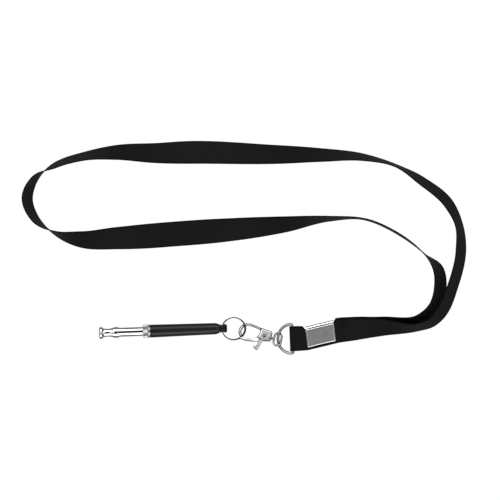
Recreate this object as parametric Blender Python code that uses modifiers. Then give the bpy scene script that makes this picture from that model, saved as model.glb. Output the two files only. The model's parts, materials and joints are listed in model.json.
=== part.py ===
"""Training whistle: a tuneable dog whistle on a split ring, trigger clasp, D-ring and neck ribbon.

Metres, +Z up. The whistle lies along X on the surface z = 0, with its lip towards -X. The chain of links and
the neck ribbon lie flat beside it. Every link is placed from the crimp backwards, because the ribbon's route
starts and ends there. The origin is the bottom centre of everything but the neck ribbon.
"""

import math

import bmesh
import bpy
from mathutils import Matrix, Vector

MM = 0.001

# Fits between pieces that turn, slide or are joined.
RUNNING_FIT = 0.10 * MM
JOINED_GAP = 0.20 * MM

# Mouthpiece, turned from one bar.
LIP_DIAMETER = 7.7 * MM
LIP_LENGTH = 2.4 * MM
WAIST_DIAMETER = 5.0 * MM
SHOULDER_DIAMETER = 7.0 * MM
MOUTHPIECE_LENGTH = 12.2 * MM
SHOULDER_LENGTH = 1.0 * MM
WINDWAY_DIAMETER = 3.4 * MM
WINDOW_LENGTH = 1.1 * MM
SOCKET_DEPTH = 1.5 * MM
FIPPLE_FLAT = 0.55 * MM

# Resonator tube and its lock ring.
TUBE_DIAMETER = 5.7 * MM
TUBE_BORE = 4.3 * MM
TUBE_SHOWING = 15.2 * MM
TUBE_INSIDE_SLEEVE = 16.0 * MM
LOCK_RING_DIAMETER = 8.3 * MM
LOCK_RING_LENGTH = 4.2 * MM
RING_TO_SLEEVE = 0.15 * MM

# Tuning sleeve, with the bush, rod and piston that it carries.
SLEEVE_FRONT_DIAMETER = 8.1 * MM
SLEEVE_REAR_DIAMETER = 7.1 * MM
SLEEVE_LENGTH = 43.4 * MM
SLEEVE_CHAMFER = 2.6 * MM
BUSH_LENGTH = 8.0 * MM
BUSH_WALL = 0.4 * MM
ROD_DIAMETER = 1.6 * MM
CHAMBER_LENGTH = 13.0 * MM
PISTON_LENGTH = 4.0 * MM
SEAL_WIRE = 0.7 * MM

# Tail plug with the cross hole.
TAIL_DIAMETER = 5.5 * MM
TAIL_LENGTH = 4.7 * MM
SHANK_DIAMETER = 4.2 * MM
SHANK_LENGTH = 9.0 * MM
TAIL_HOLE_DIAMETER = 3.3 * MM
TAIL_HOLE_TO_END = 2.95 * MM

# Split ring.
SPLIT_RING_DIAMETER = 14.9 * MM
SPLIT_RING_WIRE = 0.7 * MM
SPLIT_RING_COIL_GAP = 0.08 * MM
SPLIT_RING_ROLL = 13.0

# Trigger clasp. Its own X runs from the nose to the swivel end, at x = 0.
CLASP_LENGTH = 21.1 * MM
JAW_THICKNESS = 1.9 * MM
NOSE_HALF_WIDTH = 4.7 * MM
CLASP_BODY_LENGTH = 7.5 * MM
CLASP_BODY_THICKNESS = 3.0 * MM
CLASP_END_WALL = 1.0 * MM
CLASP_HEADING = -14.0
CLASP_ROLL = -21.0
GATE_THICKNESS = 1.2 * MM
PIVOT_DIAMETER = 1.4 * MM
PIVOT_X = -4.6 * MM
PIVOT_Y = -0.95 * MM
RIVET_HEAD_DIAMETER = 2.3 * MM
RIVET_HEAD_HEIGHT = 0.35 * MM
SPRING_WIRE = 0.24 * MM
SPRING_DIAMETER = 1.1 * MM

# Swivel eye.
EYE_PLAY = 1.4 * MM
EYE_WIDTH = 10.0 * MM
EYE_WIRE = 1.3 * MM
EYE_NECK = 1.0 * MM
STEM_DIAMETER = 1.2 * MM
STEM_HEAD_DIAMETER = 1.9 * MM
STEM_HEAD_LENGTH = 0.8 * MM
STEM_HOLE_CLEARANCE = 0.2 * MM
SWIVEL_OFFSET = -1.1 * MM
SWIVEL_HEADING = -12.0
SWIVEL_ROLL = -28.0

# D-ring, with its straight bar in the strap's end loop.
D_RING_WIRE = 1.8 * MM
D_RING_DEPTH = 9.25 * MM
D_RING_CORNER = 1.0 * MM
D_RING_PITCH = 8.8
BAR_HEIGHT = 2.0 * MM

# Strap end: crimp and end loop.
RIBBON_WIDTH = 15.6 * MM
RIBBON_THICKNESS = 0.7 * MM
CRIMP_LENGTH = 18.0 * MM
CRIMP_WIDTH = 13.2 * MM
CRIMP_PLATE = 0.5 * MM
CRIMP_HEADING = 11.4
CRIMP_SKEW = 6.6
LAYER_GAP = 0.3 * MM
END_LOOP_SHOWING = 8.5 * MM
END_LOOP_DROP = -2.35 * MM
RIBBON_BELOW_CRIMP = 1.5 * MM
RIBBON_IN_FOLD = 0.35 * MM
FLOOR_GAP = 0.05 * MM
BAR_FIT = 0.25 * MM
BAR_END_PLAY = 0.2 * MM
D_RING_BAR = RIBBON_WIDTH + D_RING_WIRE + 2 * (D_RING_CORNER + BAR_END_PLAY)

# Where the crimp lies, on the bench that the links are laid out on.
CRIMP_PLACE = Vector((137.6 * MM, -6.0 * MM, 0.0))

# The neck ribbon's route over the bench, from the crimp's upper layer round to its lower one. Each point is
# x and y from the crimp's centre in millimetres, the ribbon's lean in degrees, and its lift in millimetres.
# Lean 0 lies flat, -90 stands on its outer edge, and -180 lies flat with the other face up.
RIBBON_ROUTE = (
    (18.6, 1.9, -20, 1.35), (37.5, 2.6, -46, 0.45), (60.5, 2.0, -71, 0), (69.6, 4.7, -67, 0),
    (75.8, 10.8, -61, 0), (83.5, 27, -62, 0), (89.3, 49, -63, 0), (88.6, 65, -69, 0),
    (82.5, 78.5, -64, 0), (67, 92.6, -68, 0), (50, 103.4, -82, 0), (30, 109.2, -72, 0),
    (4, 111.5, -56, 0), (-25, 113, -39, 0), (-74, 116.2, -22, 0), (-98, 116.6, -35, 0),
    (-123, 117.9, -53, 0), (-143, 116.2, -69, 0), (-161, 111.4, -75, 0), (-174, 103.6, -101, 0),
    (-179.4, 91.5, -111, 0), (-174.8, 78.3, -105, 0), (-162, 68.6, -79, 0), (-147, 64.5, -50, 0),
    (-124, 64.5, -27, 0), (-88, 65.8, 0, 0), (-50, 67.3, -26, 0), (-20, 69.1, -51, 0),
    (8, 71.6, -79, 0), (30, 70.5, -88, 0), (50, 61, -88, 0), (66.5, 47.4, -93, 0),
    (75, 36.8, -118, 0), (75.6, 26.5, -122, 0), (71, 13.5, -121, 0), (62, 5.9, -123, 0),
    (37.5, 4.1, -134, 0), (18.6, 2.5, -160, 0.4),
)
RIBBON_STATIONS = 78

ROUND_STEPS = 32

# Sizes that follow from the ones above.
AXIS_HEIGHT = LOCK_RING_DIAMETER / 2
COIL_RISE = SPLIT_RING_WIRE + SPLIT_RING_COIL_GAP
SPLIT_RING_RADIUS = (SPLIT_RING_DIAMETER - SPLIT_RING_WIRE) / 2
CLASP_SLOT = GATE_THICKNESS + 3 * RUNNING_FIT
EYE_LENGTH = D_RING_WIRE + 2 * EYE_WIRE + EYE_PLAY
CRIMP_INSIDE = 2 * RIBBON_THICKNESS + 3 * LAYER_GAP
LOWER_LAYER = CRIMP_PLATE + LAYER_GAP + RIBBON_THICKNESS / 2
UPPER_LAYER = LOWER_LAYER + RIBBON_THICKNESS + LAYER_GAP


# ---------------------------------------------------------------- scene and materials

def clear_scene():
    for item in list(bpy.data.objects):
        bpy.data.objects.remove(item, do_unlink=True)


def new_collection(name, hidden=False):
    made = bpy.data.collections.new(name)
    made.hide_render = hidden
    bpy.context.scene.collection.children.link(made)
    return made


def material(name, colour, metallic, roughness):
    made = bpy.data.materials.new(name)
    made.use_nodes = True
    shader = made.node_tree.nodes["Principled BSDF"]
    shader.inputs["Base Color"].default_value = (*colour, 1.0)
    shader.inputs["Metallic"].default_value = metallic
    shader.inputs["Roughness"].default_value = roughness
    made.diffuse_color = (*colour, 1.0)
    return made


def frame(name, matrix, parent=None):
    """An empty that pieces are parented to, with the given place on the bench."""
    made = bpy.data.objects.new(name, None)
    made.empty_display_size = 3 * MM
    PARTS.objects.link(made)
    if parent:
        made.parent = parent
        made.matrix_basis = bench_matrix(parent).inverted() @ matrix
    else:
        made.matrix_basis = matrix
    return made


def bench_matrix(item):
    matrix = item.matrix_basis.copy()
    while item.parent:
        item = item.parent
        matrix = item.matrix_basis @ matrix
    return matrix


def place(item, parent, matrix, finish=None):
    """Parents the piece to its joint's frame, so that it lies where the bench matrix says."""
    item.parent = parent
    item.matrix_basis = bench_matrix(parent).inverted() @ matrix
    if finish:
        item.data.materials.append(finish)
    return item


# ---------------------------------------------------------------- shapes

def link(name, data, to=None):
    made = bpy.data.objects.new(name, data)
    (to or PARTS).objects.link(made)
    return made


def smooth(item, angle=35):
    item.data.shade_smooth()
    item.data.set_sharp_from_angle(angle=math.radians(angle))


def turned(name, profile, closed=True, steps=ROUND_STEPS):
    """A turned piece along its own X. Profile points are (x, radius), from +X down the outer side."""
    mesh = bpy.data.meshes.new(name)
    points = [(radius, 0, x) for x, radius in profile]
    edges = [(i, i + 1) for i in range(len(points) - 1)]
    if closed:
        edges.append((len(points) - 1, 0))
    mesh.from_pydata(points, edges, [])
    item = link(name, mesh)
    screw = item.modifiers.new("turn", "SCREW")
    screw.axis = "Z"
    screw.steps = steps
    screw.render_steps = steps
    screw.use_merge_vertices = True
    screw.merge_threshold = 1e-6
    return baked(item, Matrix.Rotation(math.pi / 2, 4, "Y"))


def baked(item, matrix=None, to=None):
    """A plain mesh object of the evaluated one, with its welds made and the matrix applied to its mesh."""
    bpy.context.view_layer.update()
    graph = bpy.context.evaluated_depsgraph_get()
    mesh = bpy.data.meshes.new_from_object(item.evaluated_get(graph))
    if matrix:
        mesh.transform(matrix)
    grid = bmesh.new()
    grid.from_mesh(mesh)
    bmesh.ops.remove_doubles(grid, verts=grid.verts, dist=1e-7)
    grid.to_mesh(mesh)
    grid.free()
    name = item.name
    bpy.data.objects.remove(item, do_unlink=True)
    made = link(name, mesh, to)
    made.data.name = name
    smooth(made)
    return made


def wire(name, points, radius, cyclic=False, sides=8, radii=None):
    """A round wire along the points, with a round section of the given number of sides."""
    curve = bpy.data.curves.new(name, "CURVE")
    curve.dimensions = "3D"
    curve.bevel_depth = radius
    curve.bevel_resolution = (sides - 4) // 2
    curve.use_fill_caps = True
    line = curve.splines.new("POLY")
    line.points.add(len(points) - 1)
    for i, point in enumerate(points):
        line.points[i].co = (*point, 1.0)
        line.points[i].radius = radii[i] if radii else 1.0
    line.use_cyclic_u = cyclic
    return baked(link(name, curve))


def plate(name, outline, thickness):
    """A flat piece of the closed outline, centred on its own XY plane."""
    curve = bpy.data.curves.new(name, "CURVE")
    curve.dimensions = "2D"
    curve.fill_mode = "BOTH"
    curve.extrude = thickness / 2
    line = curve.splines.new("POLY")
    line.points.add(len(outline) - 1)
    for i, (x, y) in enumerate(outline):
        line.points[i].co = (x, y, 0.0, 1.0)
    line.use_cyclic_u = True
    return baked(link(name, curve))


def strip(name, centres, widths, thickness):
    """A ribbon: an open strip between two rails, made thick. Widths run from its left edge to its right."""
    mesh = bpy.data.meshes.new(name)
    points = []
    for centre, width in zip(centres, widths):
        points += [centre - width / 2, centre + width / 2]
    faces = [(2 * i, 2 * i + 1, 2 * i + 3, 2 * i + 2) for i in range(len(centres) - 1)]
    mesh.from_pydata(points, [], faces)
    item = link(name, mesh)
    shell = item.modifiers.new("thickness", "SOLIDIFY")
    shell.thickness = thickness
    shell.offset = 0.0
    return baked(item)


def cylinder(name, radius, length, matrix, steps=24):
    """A cutter along its own Z."""
    mesh = bpy.data.meshes.new(name)
    grid = bmesh.new()
    bmesh.ops.create_cone(
        grid, cap_ends=True, segments=steps, radius1=radius, radius2=radius, depth=length, matrix=matrix
    )
    grid.to_mesh(mesh)
    grid.free()
    return hidden(link(name, mesh, CUTTERS))


def box(name, low, high):
    """A cutter between two corners."""
    mesh = bpy.data.meshes.new(name)
    grid = bmesh.new()
    low, high = Vector(low), Vector(high)
    size = Matrix.Diagonal((*(high - low), 1.0))
    bmesh.ops.create_cube(grid, size=1.0, matrix=Matrix.Translation((low + high) / 2) @ size)
    grid.to_mesh(mesh)
    grid.free()
    return hidden(link(name, mesh, CUTTERS))


def hidden(item):
    item.hide_render = True
    item.display_type = "WIRE"
    return item


def combine(item, other, operation):
    """Applies a Boolean with the other piece, which is then removed."""
    step = item.modifiers.new(operation.lower(), "BOOLEAN")
    step.operation = operation
    step.solver = "EXACT"
    step.object = other
    made = baked(item)
    bpy.data.objects.remove(other, do_unlink=True)
    return made


def arc(centre, radius, start, end, count):
    """Points of an arc in a plane, with angles in degrees."""
    found = []
    for i in range(count + 1):
        angle = math.radians(start + (end - start) * i / count)
        found.append((centre[0] + radius * math.cos(angle), centre[1] + radius * math.sin(angle)))
    return found


def smooth_path(points, count):
    """Evenly spaced 4D values on a smooth curve. The fourth number keeps between its neighbours' values."""
    values = [Vector(p) for p in points]
    span = [(b.to_3d() - a.to_3d()).length for a, b in zip(values, values[1:])]
    rates = [(b - a) / length for a, b, length in zip(values, values[1:], span)]
    slopes = [rates[0]]
    for i in range(1, len(values) - 1):
        slope = (rates[i - 1] * span[i] + rates[i] * span[i - 1]) / (span[i - 1] + span[i])
        product = rates[i - 1].w * rates[i].w
        slope.w = 2 * product / (rates[i - 1].w + rates[i].w) if product > 0 else 0.0
        slopes.append(slope)
    slopes.append(rates[-1])
    fine = []
    for i, length in enumerate(span):
        for k in range(20):
            t = k / 20
            fine.append(
                values[i] * (2 * t**3 - 3 * t**2 + 1)
                + slopes[i] * length * (t**3 - 2 * t**2 + t)
                + values[i + 1] * (3 * t**2 - 2 * t**3)
                + slopes[i + 1] * length * (t**3 - t**2)
            )
    fine.append(values[-1])
    return evenly(fine, count)


def evenly(points, count):
    travelled = [0.0]
    for a, b in zip(points, points[1:]):
        travelled.append(travelled[-1] + (b.to_3d() - a.to_3d()).length)
    found = []
    k = 0
    for i in range(count):
        at = travelled[-1] * i / (count - 1)
        while k < len(points) - 2 and travelled[k + 1] < at:
            k += 1
        share = (at - travelled[k]) / (travelled[k + 1] - travelled[k])
        found.append(points[k].lerp(points[k + 1], share))
    return found


# ---------------------------------------------------------------- places on the bench

def turn(degrees, axis):
    return Matrix.Rotation(math.radians(degrees), 4, axis)


def crimp_matrix():
    return Matrix.Translation(CRIMP_PLACE) @ turn(CRIMP_HEADING, "Z")


def bar_matrix():
    """The D-ring's bar, with X towards the crimp, Y along the bar, and Z up from the ring's plane."""
    reach = CRIMP_LENGTH / 2 + END_LOOP_SHOWING
    centre = CRIMP_PLACE + Vector((-reach, END_LOOP_DROP, BAR_HEIGHT))
    return Matrix.Translation(centre) @ turn(D_RING_PITCH, "Y")


def eye_matrix():
    """The swivel eye's centre. X runs from its stem outwards, and Z is normal to its plane."""
    centre = bar_matrix() @ Vector((-D_RING_DEPTH - 2 * RUNNING_FIT, 0, 0))
    heading = turn(SWIVEL_HEADING, "Z") @ turn(-2.0, "Y")
    return Matrix.Translation(centre) @ heading @ turn(SWIVEL_ROLL, "X")


def stem_root():
    """Where the swivel's stem leaves the clasp's end face."""
    return eye_matrix() @ Vector((-EYE_LENGTH / 2 - EYE_NECK, 0, 0))


def clasp_matrix():
    turned_to = turn(CLASP_HEADING, "Z") @ turn(CLASP_ROLL, "X")
    centre = stem_root() - turned_to.to_3x3() @ Vector((0, SWIVEL_OFFSET, 0))
    return Matrix.Translation(centre) @ turned_to


def ring_right():
    """The middle of the split ring's wire where it passes through the clasp's opening."""
    inside = -CLASP_LENGTH + JAW_THICKNESS + SPLIT_RING_WIRE + 0.9 * MM
    above = (JAW_THICKNESS + SPLIT_RING_WIRE) / 2 - 0.3 * MM
    return clasp_matrix() @ Vector((inside, 1.45 * MM, above))


def ring_matrix():
    """The split ring's wire in the whistle's tail, with X towards the clasp and Z normal to the ring."""
    right = ring_right()
    across = 2 * SPLIT_RING_RADIUS
    fall = math.asin((AXIS_HEIGHT - right.z) / across)
    left = right - Vector((across * math.cos(fall), 0, -across * math.sin(fall)))
    return Matrix.Translation(left) @ Matrix.Rotation(fall, 4, "Y") @ turn(SPLIT_RING_ROLL, "X")


def hole_centre():
    """The tail's cross hole, eased towards the ring so that its curved wire passes."""
    return ring_matrix().translation + Vector((0.22 * MM, 0.4 * MM, 0))


def whistle_matrix():
    """The whistle's lip, with X along the whistle."""
    length = (
        MOUTHPIECE_LENGTH + TUBE_SHOWING + LOCK_RING_LENGTH + RING_TO_SLEEVE + SLEEVE_LENGTH
        + TAIL_LENGTH - TAIL_HOLE_TO_END
    )
    hole = hole_centre()
    return Matrix.Translation((hole.x - length, hole.y, AXIS_HEIGHT))


def crossing(a, b):
    """A frame between two points, with Y along the line from b to a."""
    along = (a - b).normalized()
    side = along.cross(Vector((0, 0, 1))).normalized()
    up = side.cross(along)
    matrix = Matrix((side, along, up)).transposed().to_4x4()
    return Matrix.Translation((a + b) / 2) @ matrix


def clasp_hinge_matrix():
    """The line between the clasp's two contacts with the split ring."""
    hook = hook_knots()
    found = []
    for angle, (x, y) in ((22, hook[3]), (-50, hook[0])):
        wire_x, wire_y = arc((SPLIT_RING_RADIUS, 0), SPLIT_RING_RADIUS, angle, angle, 1)[0]
        wire_point = ring_matrix() @ Vector((wire_x, wire_y, 0))
        hook_point = clasp_matrix() @ Vector((x, y, 0))
        found.append((wire_point + hook_point) / 2)
    return crossing(*found)


def d_ring_hinge_matrix():
    """The line between the eye's two contacts with the D-ring's arc."""
    found = []
    for side in (1, -1):
        rim = eye_matrix() @ Vector((0, side * (EYE_WIDTH - EYE_WIRE) / 2, 0))
        ring = bar_matrix().inverted() @ rim
        ring.z = 0
        found.append((rim + bar_matrix() @ ring) / 2)
    return crossing(*found)


# ---------------------------------------------------------------- whistle

def mouthpiece_profile():
    """Outer side from the rear face to the lip, then the windway and the tube's socket."""
    end = MOUTHPIECE_LENGTH
    shoulder = end - SHOULDER_LENGTH
    waist_at = LIP_LENGTH + 3.3 * MM
    outer = [(end, SHOULDER_DIAMETER / 2 - 0.15 * MM), (end - 0.15 * MM, SHOULDER_DIAMETER / 2)]
    outer.append((shoulder, SHOULDER_DIAMETER / 2))
    for i in range(1, 6):
        t = i / 6
        ease = t * t * (3 - 2 * t)
        across = SHOULDER_DIAMETER + (WAIST_DIAMETER - SHOULDER_DIAMETER) * ease
        outer.append((shoulder + (waist_at - shoulder) * t, across / 2))
    outer.append((waist_at, WAIST_DIAMETER / 2))
    neck = LIP_DIAMETER - 1.6 * MM
    for i in range(1, 4):
        t = i / 3
        across = WAIST_DIAMETER + (neck - WAIST_DIAMETER) * t * t
        outer.append((waist_at + (LIP_LENGTH - waist_at) * t, across / 2))
    bead = LIP_LENGTH / 2
    for x, y in arc((bead, LIP_DIAMETER / 2 - bead), bead, 35, 180, 7):
        outer.append((x, y))
    bore = WINDWAY_DIAMETER / 2
    socket = TUBE_DIAMETER / 2 + RUNNING_FIT
    inner = [(0.0, bore + 0.3 * MM), (0.3 * MM, bore)]
    seat = end - SOCKET_DEPTH
    chamber = seat - WINDOW_LENGTH
    inner += [(chamber, bore), (chamber, TUBE_BORE / 2), (seat, TUBE_BORE / 2), (seat, socket), (end, socket)]
    return outer + inner


def make_mouthpiece(parent, matrix, finish):
    item = turned("mouthpiece", mouthpiece_profile())
    top = MOUTHPIECE_LENGTH - SOCKET_DEPTH
    window = box(
        "window_cutter",
        (top - WINDOW_LENGTH, -1.1 * MM, 1.2 * MM),
        (top - 0.05 * MM, 1.1 * MM, SHOULDER_DIAMETER),
    )
    item = combine(item, window, "DIFFERENCE")
    return place(item, parent, matrix, finish)


def make_fipple_plug(parent, matrix, finish):
    """The plug that leaves a flat windway above it."""
    radius = WINDWAY_DIAMETER / 2 - RUNNING_FIT
    end = MOUTHPIECE_LENGTH - SOCKET_DEPTH - WINDOW_LENGTH - JOINED_GAP
    item = turned("fipple_plug", [(end, 0), (end, radius), (1.0 * MM, radius), (1.0 * MM, 0)], closed=False)
    flat = box("flat_cutter", (0, -radius * 2, radius - FIPPLE_FLAT), (end * 2, radius * 2, radius * 2))
    item = combine(item, flat, "DIFFERENCE")
    return place(item, parent, matrix, finish)


def tube_front():
    return MOUTHPIECE_LENGTH - SOCKET_DEPTH + JOINED_GAP


def sleeve_front():
    return MOUTHPIECE_LENGTH + TUBE_SHOWING + LOCK_RING_LENGTH + RING_TO_SLEEVE


def make_resonator_tube(parent, matrix, finish):
    outer = TUBE_DIAMETER / 2
    bore = TUBE_BORE / 2
    end = sleeve_front() + TUBE_INSIDE_SLEEVE
    edge = 0.3 * MM
    profile = [
        (end, outer - edge), (end - edge, outer), (tube_front(), outer), (tube_front(), bore), (end, bore),
    ]
    return place(turned("resonator_tube", profile), parent, matrix, finish)


def make_lock_ring(parent, matrix, finish):
    """A knurled band with a polished rim on its rear side."""
    start = MOUTHPIECE_LENGTH + TUBE_SHOWING
    end = start + LOCK_RING_LENGTH
    bore = TUBE_DIAMETER / 2 + RUNNING_FIT
    outer = LOCK_RING_DIAMETER / 2
    edge = 0.25 * MM
    groove = end - 0.9 * MM
    profile = [
        (end, outer - edge), (end - edge, outer), (groove + 0.15 * MM, outer), (groove, outer - 0.2 * MM),
        (groove - 0.15 * MM, outer), (start + edge, outer), (start, outer - edge), (start, bore), (end, bore),
    ]
    return place(turned("lock_ring", profile), parent, matrix, finish)


def make_barrel_sleeve(parent, matrix, finish):
    """The tapered grip, bored for the bush at its front and for the tail plug's shank at its rear."""
    front = sleeve_front()
    end = front + SLEEVE_LENGTH
    bush = TUBE_DIAMETER / 2 + RUNNING_FIT + BUSH_WALL + RUNNING_FIT
    bore = TUBE_DIAMETER / 2 + 0.25 * MM
    shank = SHANK_DIAMETER / 2 + RUNNING_FIT
    edge = 0.3 * MM
    bush_end = front + BUSH_LENGTH + 2 * JOINED_GAP
    shank_start = end - SHANK_LENGTH - JOINED_GAP
    profile = [
        (end, TAIL_DIAMETER / 2 + 0.05 * MM), (end - SLEEVE_CHAMFER, SLEEVE_REAR_DIAMETER / 2),
        (front + edge, SLEEVE_FRONT_DIAMETER / 2), (front, SLEEVE_FRONT_DIAMETER / 2 - edge), (front, bush),
        (bush_end, bush), (bush_end, bore), (shank_start, bore), (shank_start, shank), (end, shank),
    ]
    return place(turned("barrel_sleeve", profile), parent, matrix, finish)


def make_threaded_bush(parent, matrix, finish):
    start = sleeve_front() + JOINED_GAP
    bore = TUBE_DIAMETER / 2 + RUNNING_FIT
    outer = bore + BUSH_WALL
    end = start + BUSH_LENGTH
    profile = [(end, outer), (start, outer), (start, bore), (end, bore)]
    return place(turned("threaded_bush", profile), parent, matrix, finish)


def piston_front():
    return tube_front() + CHAMBER_LENGTH


def make_piston_rod(parent, matrix, finish):
    """From the tail plug's shank to a small head in front of the piston."""
    end = sleeve_front() + SLEEVE_LENGTH - SHANK_LENGTH / 2
    rod = ROD_DIAMETER / 2
    rear = piston_front() + PISTON_LENGTH
    button = rod + 0.5 * MM
    front = piston_front() - JOINED_GAP
    tip = front - 0.6 * MM
    profile = [
        (end, 0), (end, rod), (rear + 0.9 * MM, rod), (rear + 0.9 * MM, button), (rear + JOINED_GAP, button),
        (rear + JOINED_GAP, rod), (front, rod), (front, button), (tip, button), (tip, 0),
    ]
    return place(turned("piston_rod", profile, closed=False, steps=16), parent, matrix, finish)


def seal_seat():
    return piston_front() + PISTON_LENGTH / 2


def make_piston_head(parent, matrix, finish):
    """Turns freely on the rod, held by the rod's two heads, with a groove for the seal."""
    outer = TUBE_BORE / 2 - RUNNING_FIT
    front = piston_front()
    rear = front + PISTON_LENGTH
    bore = ROD_DIAMETER / 2 + RUNNING_FIT
    half = SEAL_WIRE / 2 + RUNNING_FIT
    floor = outer - SEAL_WIRE
    seat = seal_seat()
    profile = [
        (rear, outer), (seat + half, outer), (seat + half, floor), (seat - half, floor), (seat - half, outer),
        (front, outer), (front, bore), (rear, bore),
    ]
    return place(turned("piston_head", profile), parent, matrix, finish)


def make_piston_seal(parent, matrix, finish):
    wall = SEAL_WIRE / 2 - RUNNING_FIT / 2
    centre = TUBE_BORE / 2 - RUNNING_FIT / 2 - SEAL_WIRE / 2
    profile = [(seal_seat() + x, centre + y) for x, y in arc((0, 0), wall, 0, -315, 7)]
    profile.reverse()
    return place(turned("piston_seal", profile, steps=24), parent, matrix, finish)


def make_tail_plug(parent, matrix, finish):
    """A shank inside the sleeve, and the rounded tail with a countersunk cross hole."""
    seat = sleeve_front() + SLEEVE_LENGTH
    end = seat + TAIL_LENGTH
    outer = TAIL_DIAMETER / 2
    shank = SHANK_DIAMETER / 2
    corner = 1.2 * MM
    rod = ROD_DIAMETER / 2 + RUNNING_FIT
    profile = [(end, 0)]
    profile += [(x, y) for x, y in arc((end - corner, outer - corner), corner, 0, 90, 4)]
    start = seat + JOINED_GAP
    hole_end = seat - SHANK_LENGTH / 2 + JOINED_GAP
    profile += [
        (start, outer), (start, shank), (seat - SHANK_LENGTH, shank), (seat - SHANK_LENGTH, rod),
        (hole_end, rod), (hole_end, 0),
    ]
    item = turned("tail_plug", profile, closed=False)
    hole_x = end - TAIL_HOLE_TO_END
    across = Matrix.Translation((hole_x, 0, 0)) @ turn(90, "X")
    hole = cylinder("tail_hole", TAIL_HOLE_DIAMETER / 2, 2 * TAIL_DIAMETER, across, 22)
    item = combine(item, hole, "DIFFERENCE")
    return place(item, parent, matrix, finish)


# ---------------------------------------------------------------- split ring and clasp

def make_split_ring(parent, matrix, finish):
    """Two turns of wire side by side, with one step between them and a gap at each end of the wire."""
    step = 46
    count = 66
    first = 100 + step / 2
    last = first + 720 - step
    points = []
    for i in range(count + 1):
        angle = first + (last - first) * i / count
        share = (angle - (100 + 360 - step / 2)) / step
        share = min(1.0, max(0.0, share))
        rise = (share * share * (3 - 2 * share) - 0.5) * COIL_RISE
        x, y = arc((SPLIT_RING_RADIUS, 0), SPLIT_RING_RADIUS, angle, angle, 1)[0]
        points.append((x, y, rise))
    item = wire("split_ring", points, SPLIT_RING_WIRE / 2)
    return place(item, parent, matrix, finish)


def hook_knots():
    """The middle of the fixed jaw, from its tip round the nose and along the spine into the body."""
    left = -CLASP_LENGTH + JAW_THICKNESS / 2
    wide = NOSE_HALF_WIDTH
    body = -CLASP_BODY_LENGTH
    return [
        (left + 1.15 * MM, -wide * 0.80), (left + 0.25 * MM, -wide * 0.42), (left, 0.3 * MM),
        (left + 0.9 * MM, wide * 0.52), (left + 2.5 * MM, wide * 0.85), (left + 4.9 * MM, wide),
        (left + 8.2 * MM, wide * 0.92), (body - 1.0 * MM, wide * 0.77), (body + 3.0 * MM, wide * 0.60),
    ]


def body_outline():
    """The body around the gate's pivot, narrowing to the swivel end."""
    front = -CLASP_BODY_LENGTH
    return [
        (front - 1.6 * MM, -2.9 * MM), (front + 1.2 * MM, -4.1 * MM), (-2.0 * MM, -3.5 * MM),
        (-0.5 * MM, -3.1 * MM), (0.0, -2.5 * MM), (0.0, 2.3 * MM), (-0.5 * MM, 3.0 * MM),
        (-2.5 * MM, 3.3 * MM), (front + 0.6 * MM, 3.9 * MM), (front - 0.6 * MM, 3.6 * MM),
        (front - 0.1 * MM, 2.2 * MM), (front - 0.35 * MM, 0.4 * MM), (front - 0.9 * MM, -1.4 * MM),
    ]


def pin_place():
    return Vector((PIVOT_X, PIVOT_Y, 0))


def make_clasp_hook(parent, matrix, finish):
    line = smooth_path([(x, y, 0.0, 0.0) for x, y in hook_knots()], 26)
    item = wire("clasp_hook", [spot.to_3d() for spot in line], JAW_THICKNESS / 2, sides=10)
    body = plate("clasp_body", body_outline(), CLASP_BODY_THICKNESS)
    item = combine(item, body, "UNION")
    half = CLASP_SLOT / 2
    slot = box("gate_slot", (-CLASP_LENGTH * 0.6, -8 * MM, -half), (-2.7 * MM, 1.9 * MM, half))
    item = combine(item, slot, "DIFFERENCE")
    head = STEM_HEAD_DIAMETER / 2 + STEM_HOLE_CLEARANCE
    pocket_length = STEM_HEAD_LENGTH + 3 * JOINED_GAP
    pocket_x = -CLASP_END_WALL - pocket_length / 2
    pocket_place = Matrix.Translation((pocket_x, SWIVEL_OFFSET, 0)) @ turn(90, "Y")
    pocket = cylinder("head_pocket", head, pocket_length, pocket_place, 16)
    item = combine(item, pocket, "DIFFERENCE")
    hole = STEM_DIAMETER / 2 + STEM_HOLE_CLEARANCE
    hole_place = Matrix.Translation((0, SWIVEL_OFFSET, 0)) @ turn(90, "Y")
    through = cylinder("stem_hole", hole, 4 * CLASP_END_WALL, hole_place, 16)
    item = combine(item, through, "DIFFERENCE")
    pin = PIVOT_DIAMETER / 2 + RUNNING_FIT
    bore = cylinder("pin_hole", pin, 4 * CLASP_BODY_THICKNESS, Matrix.Translation(pin_place()), 16)
    item = combine(item, bore, "DIFFERENCE")
    return place(item, parent, matrix, finish)


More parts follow.
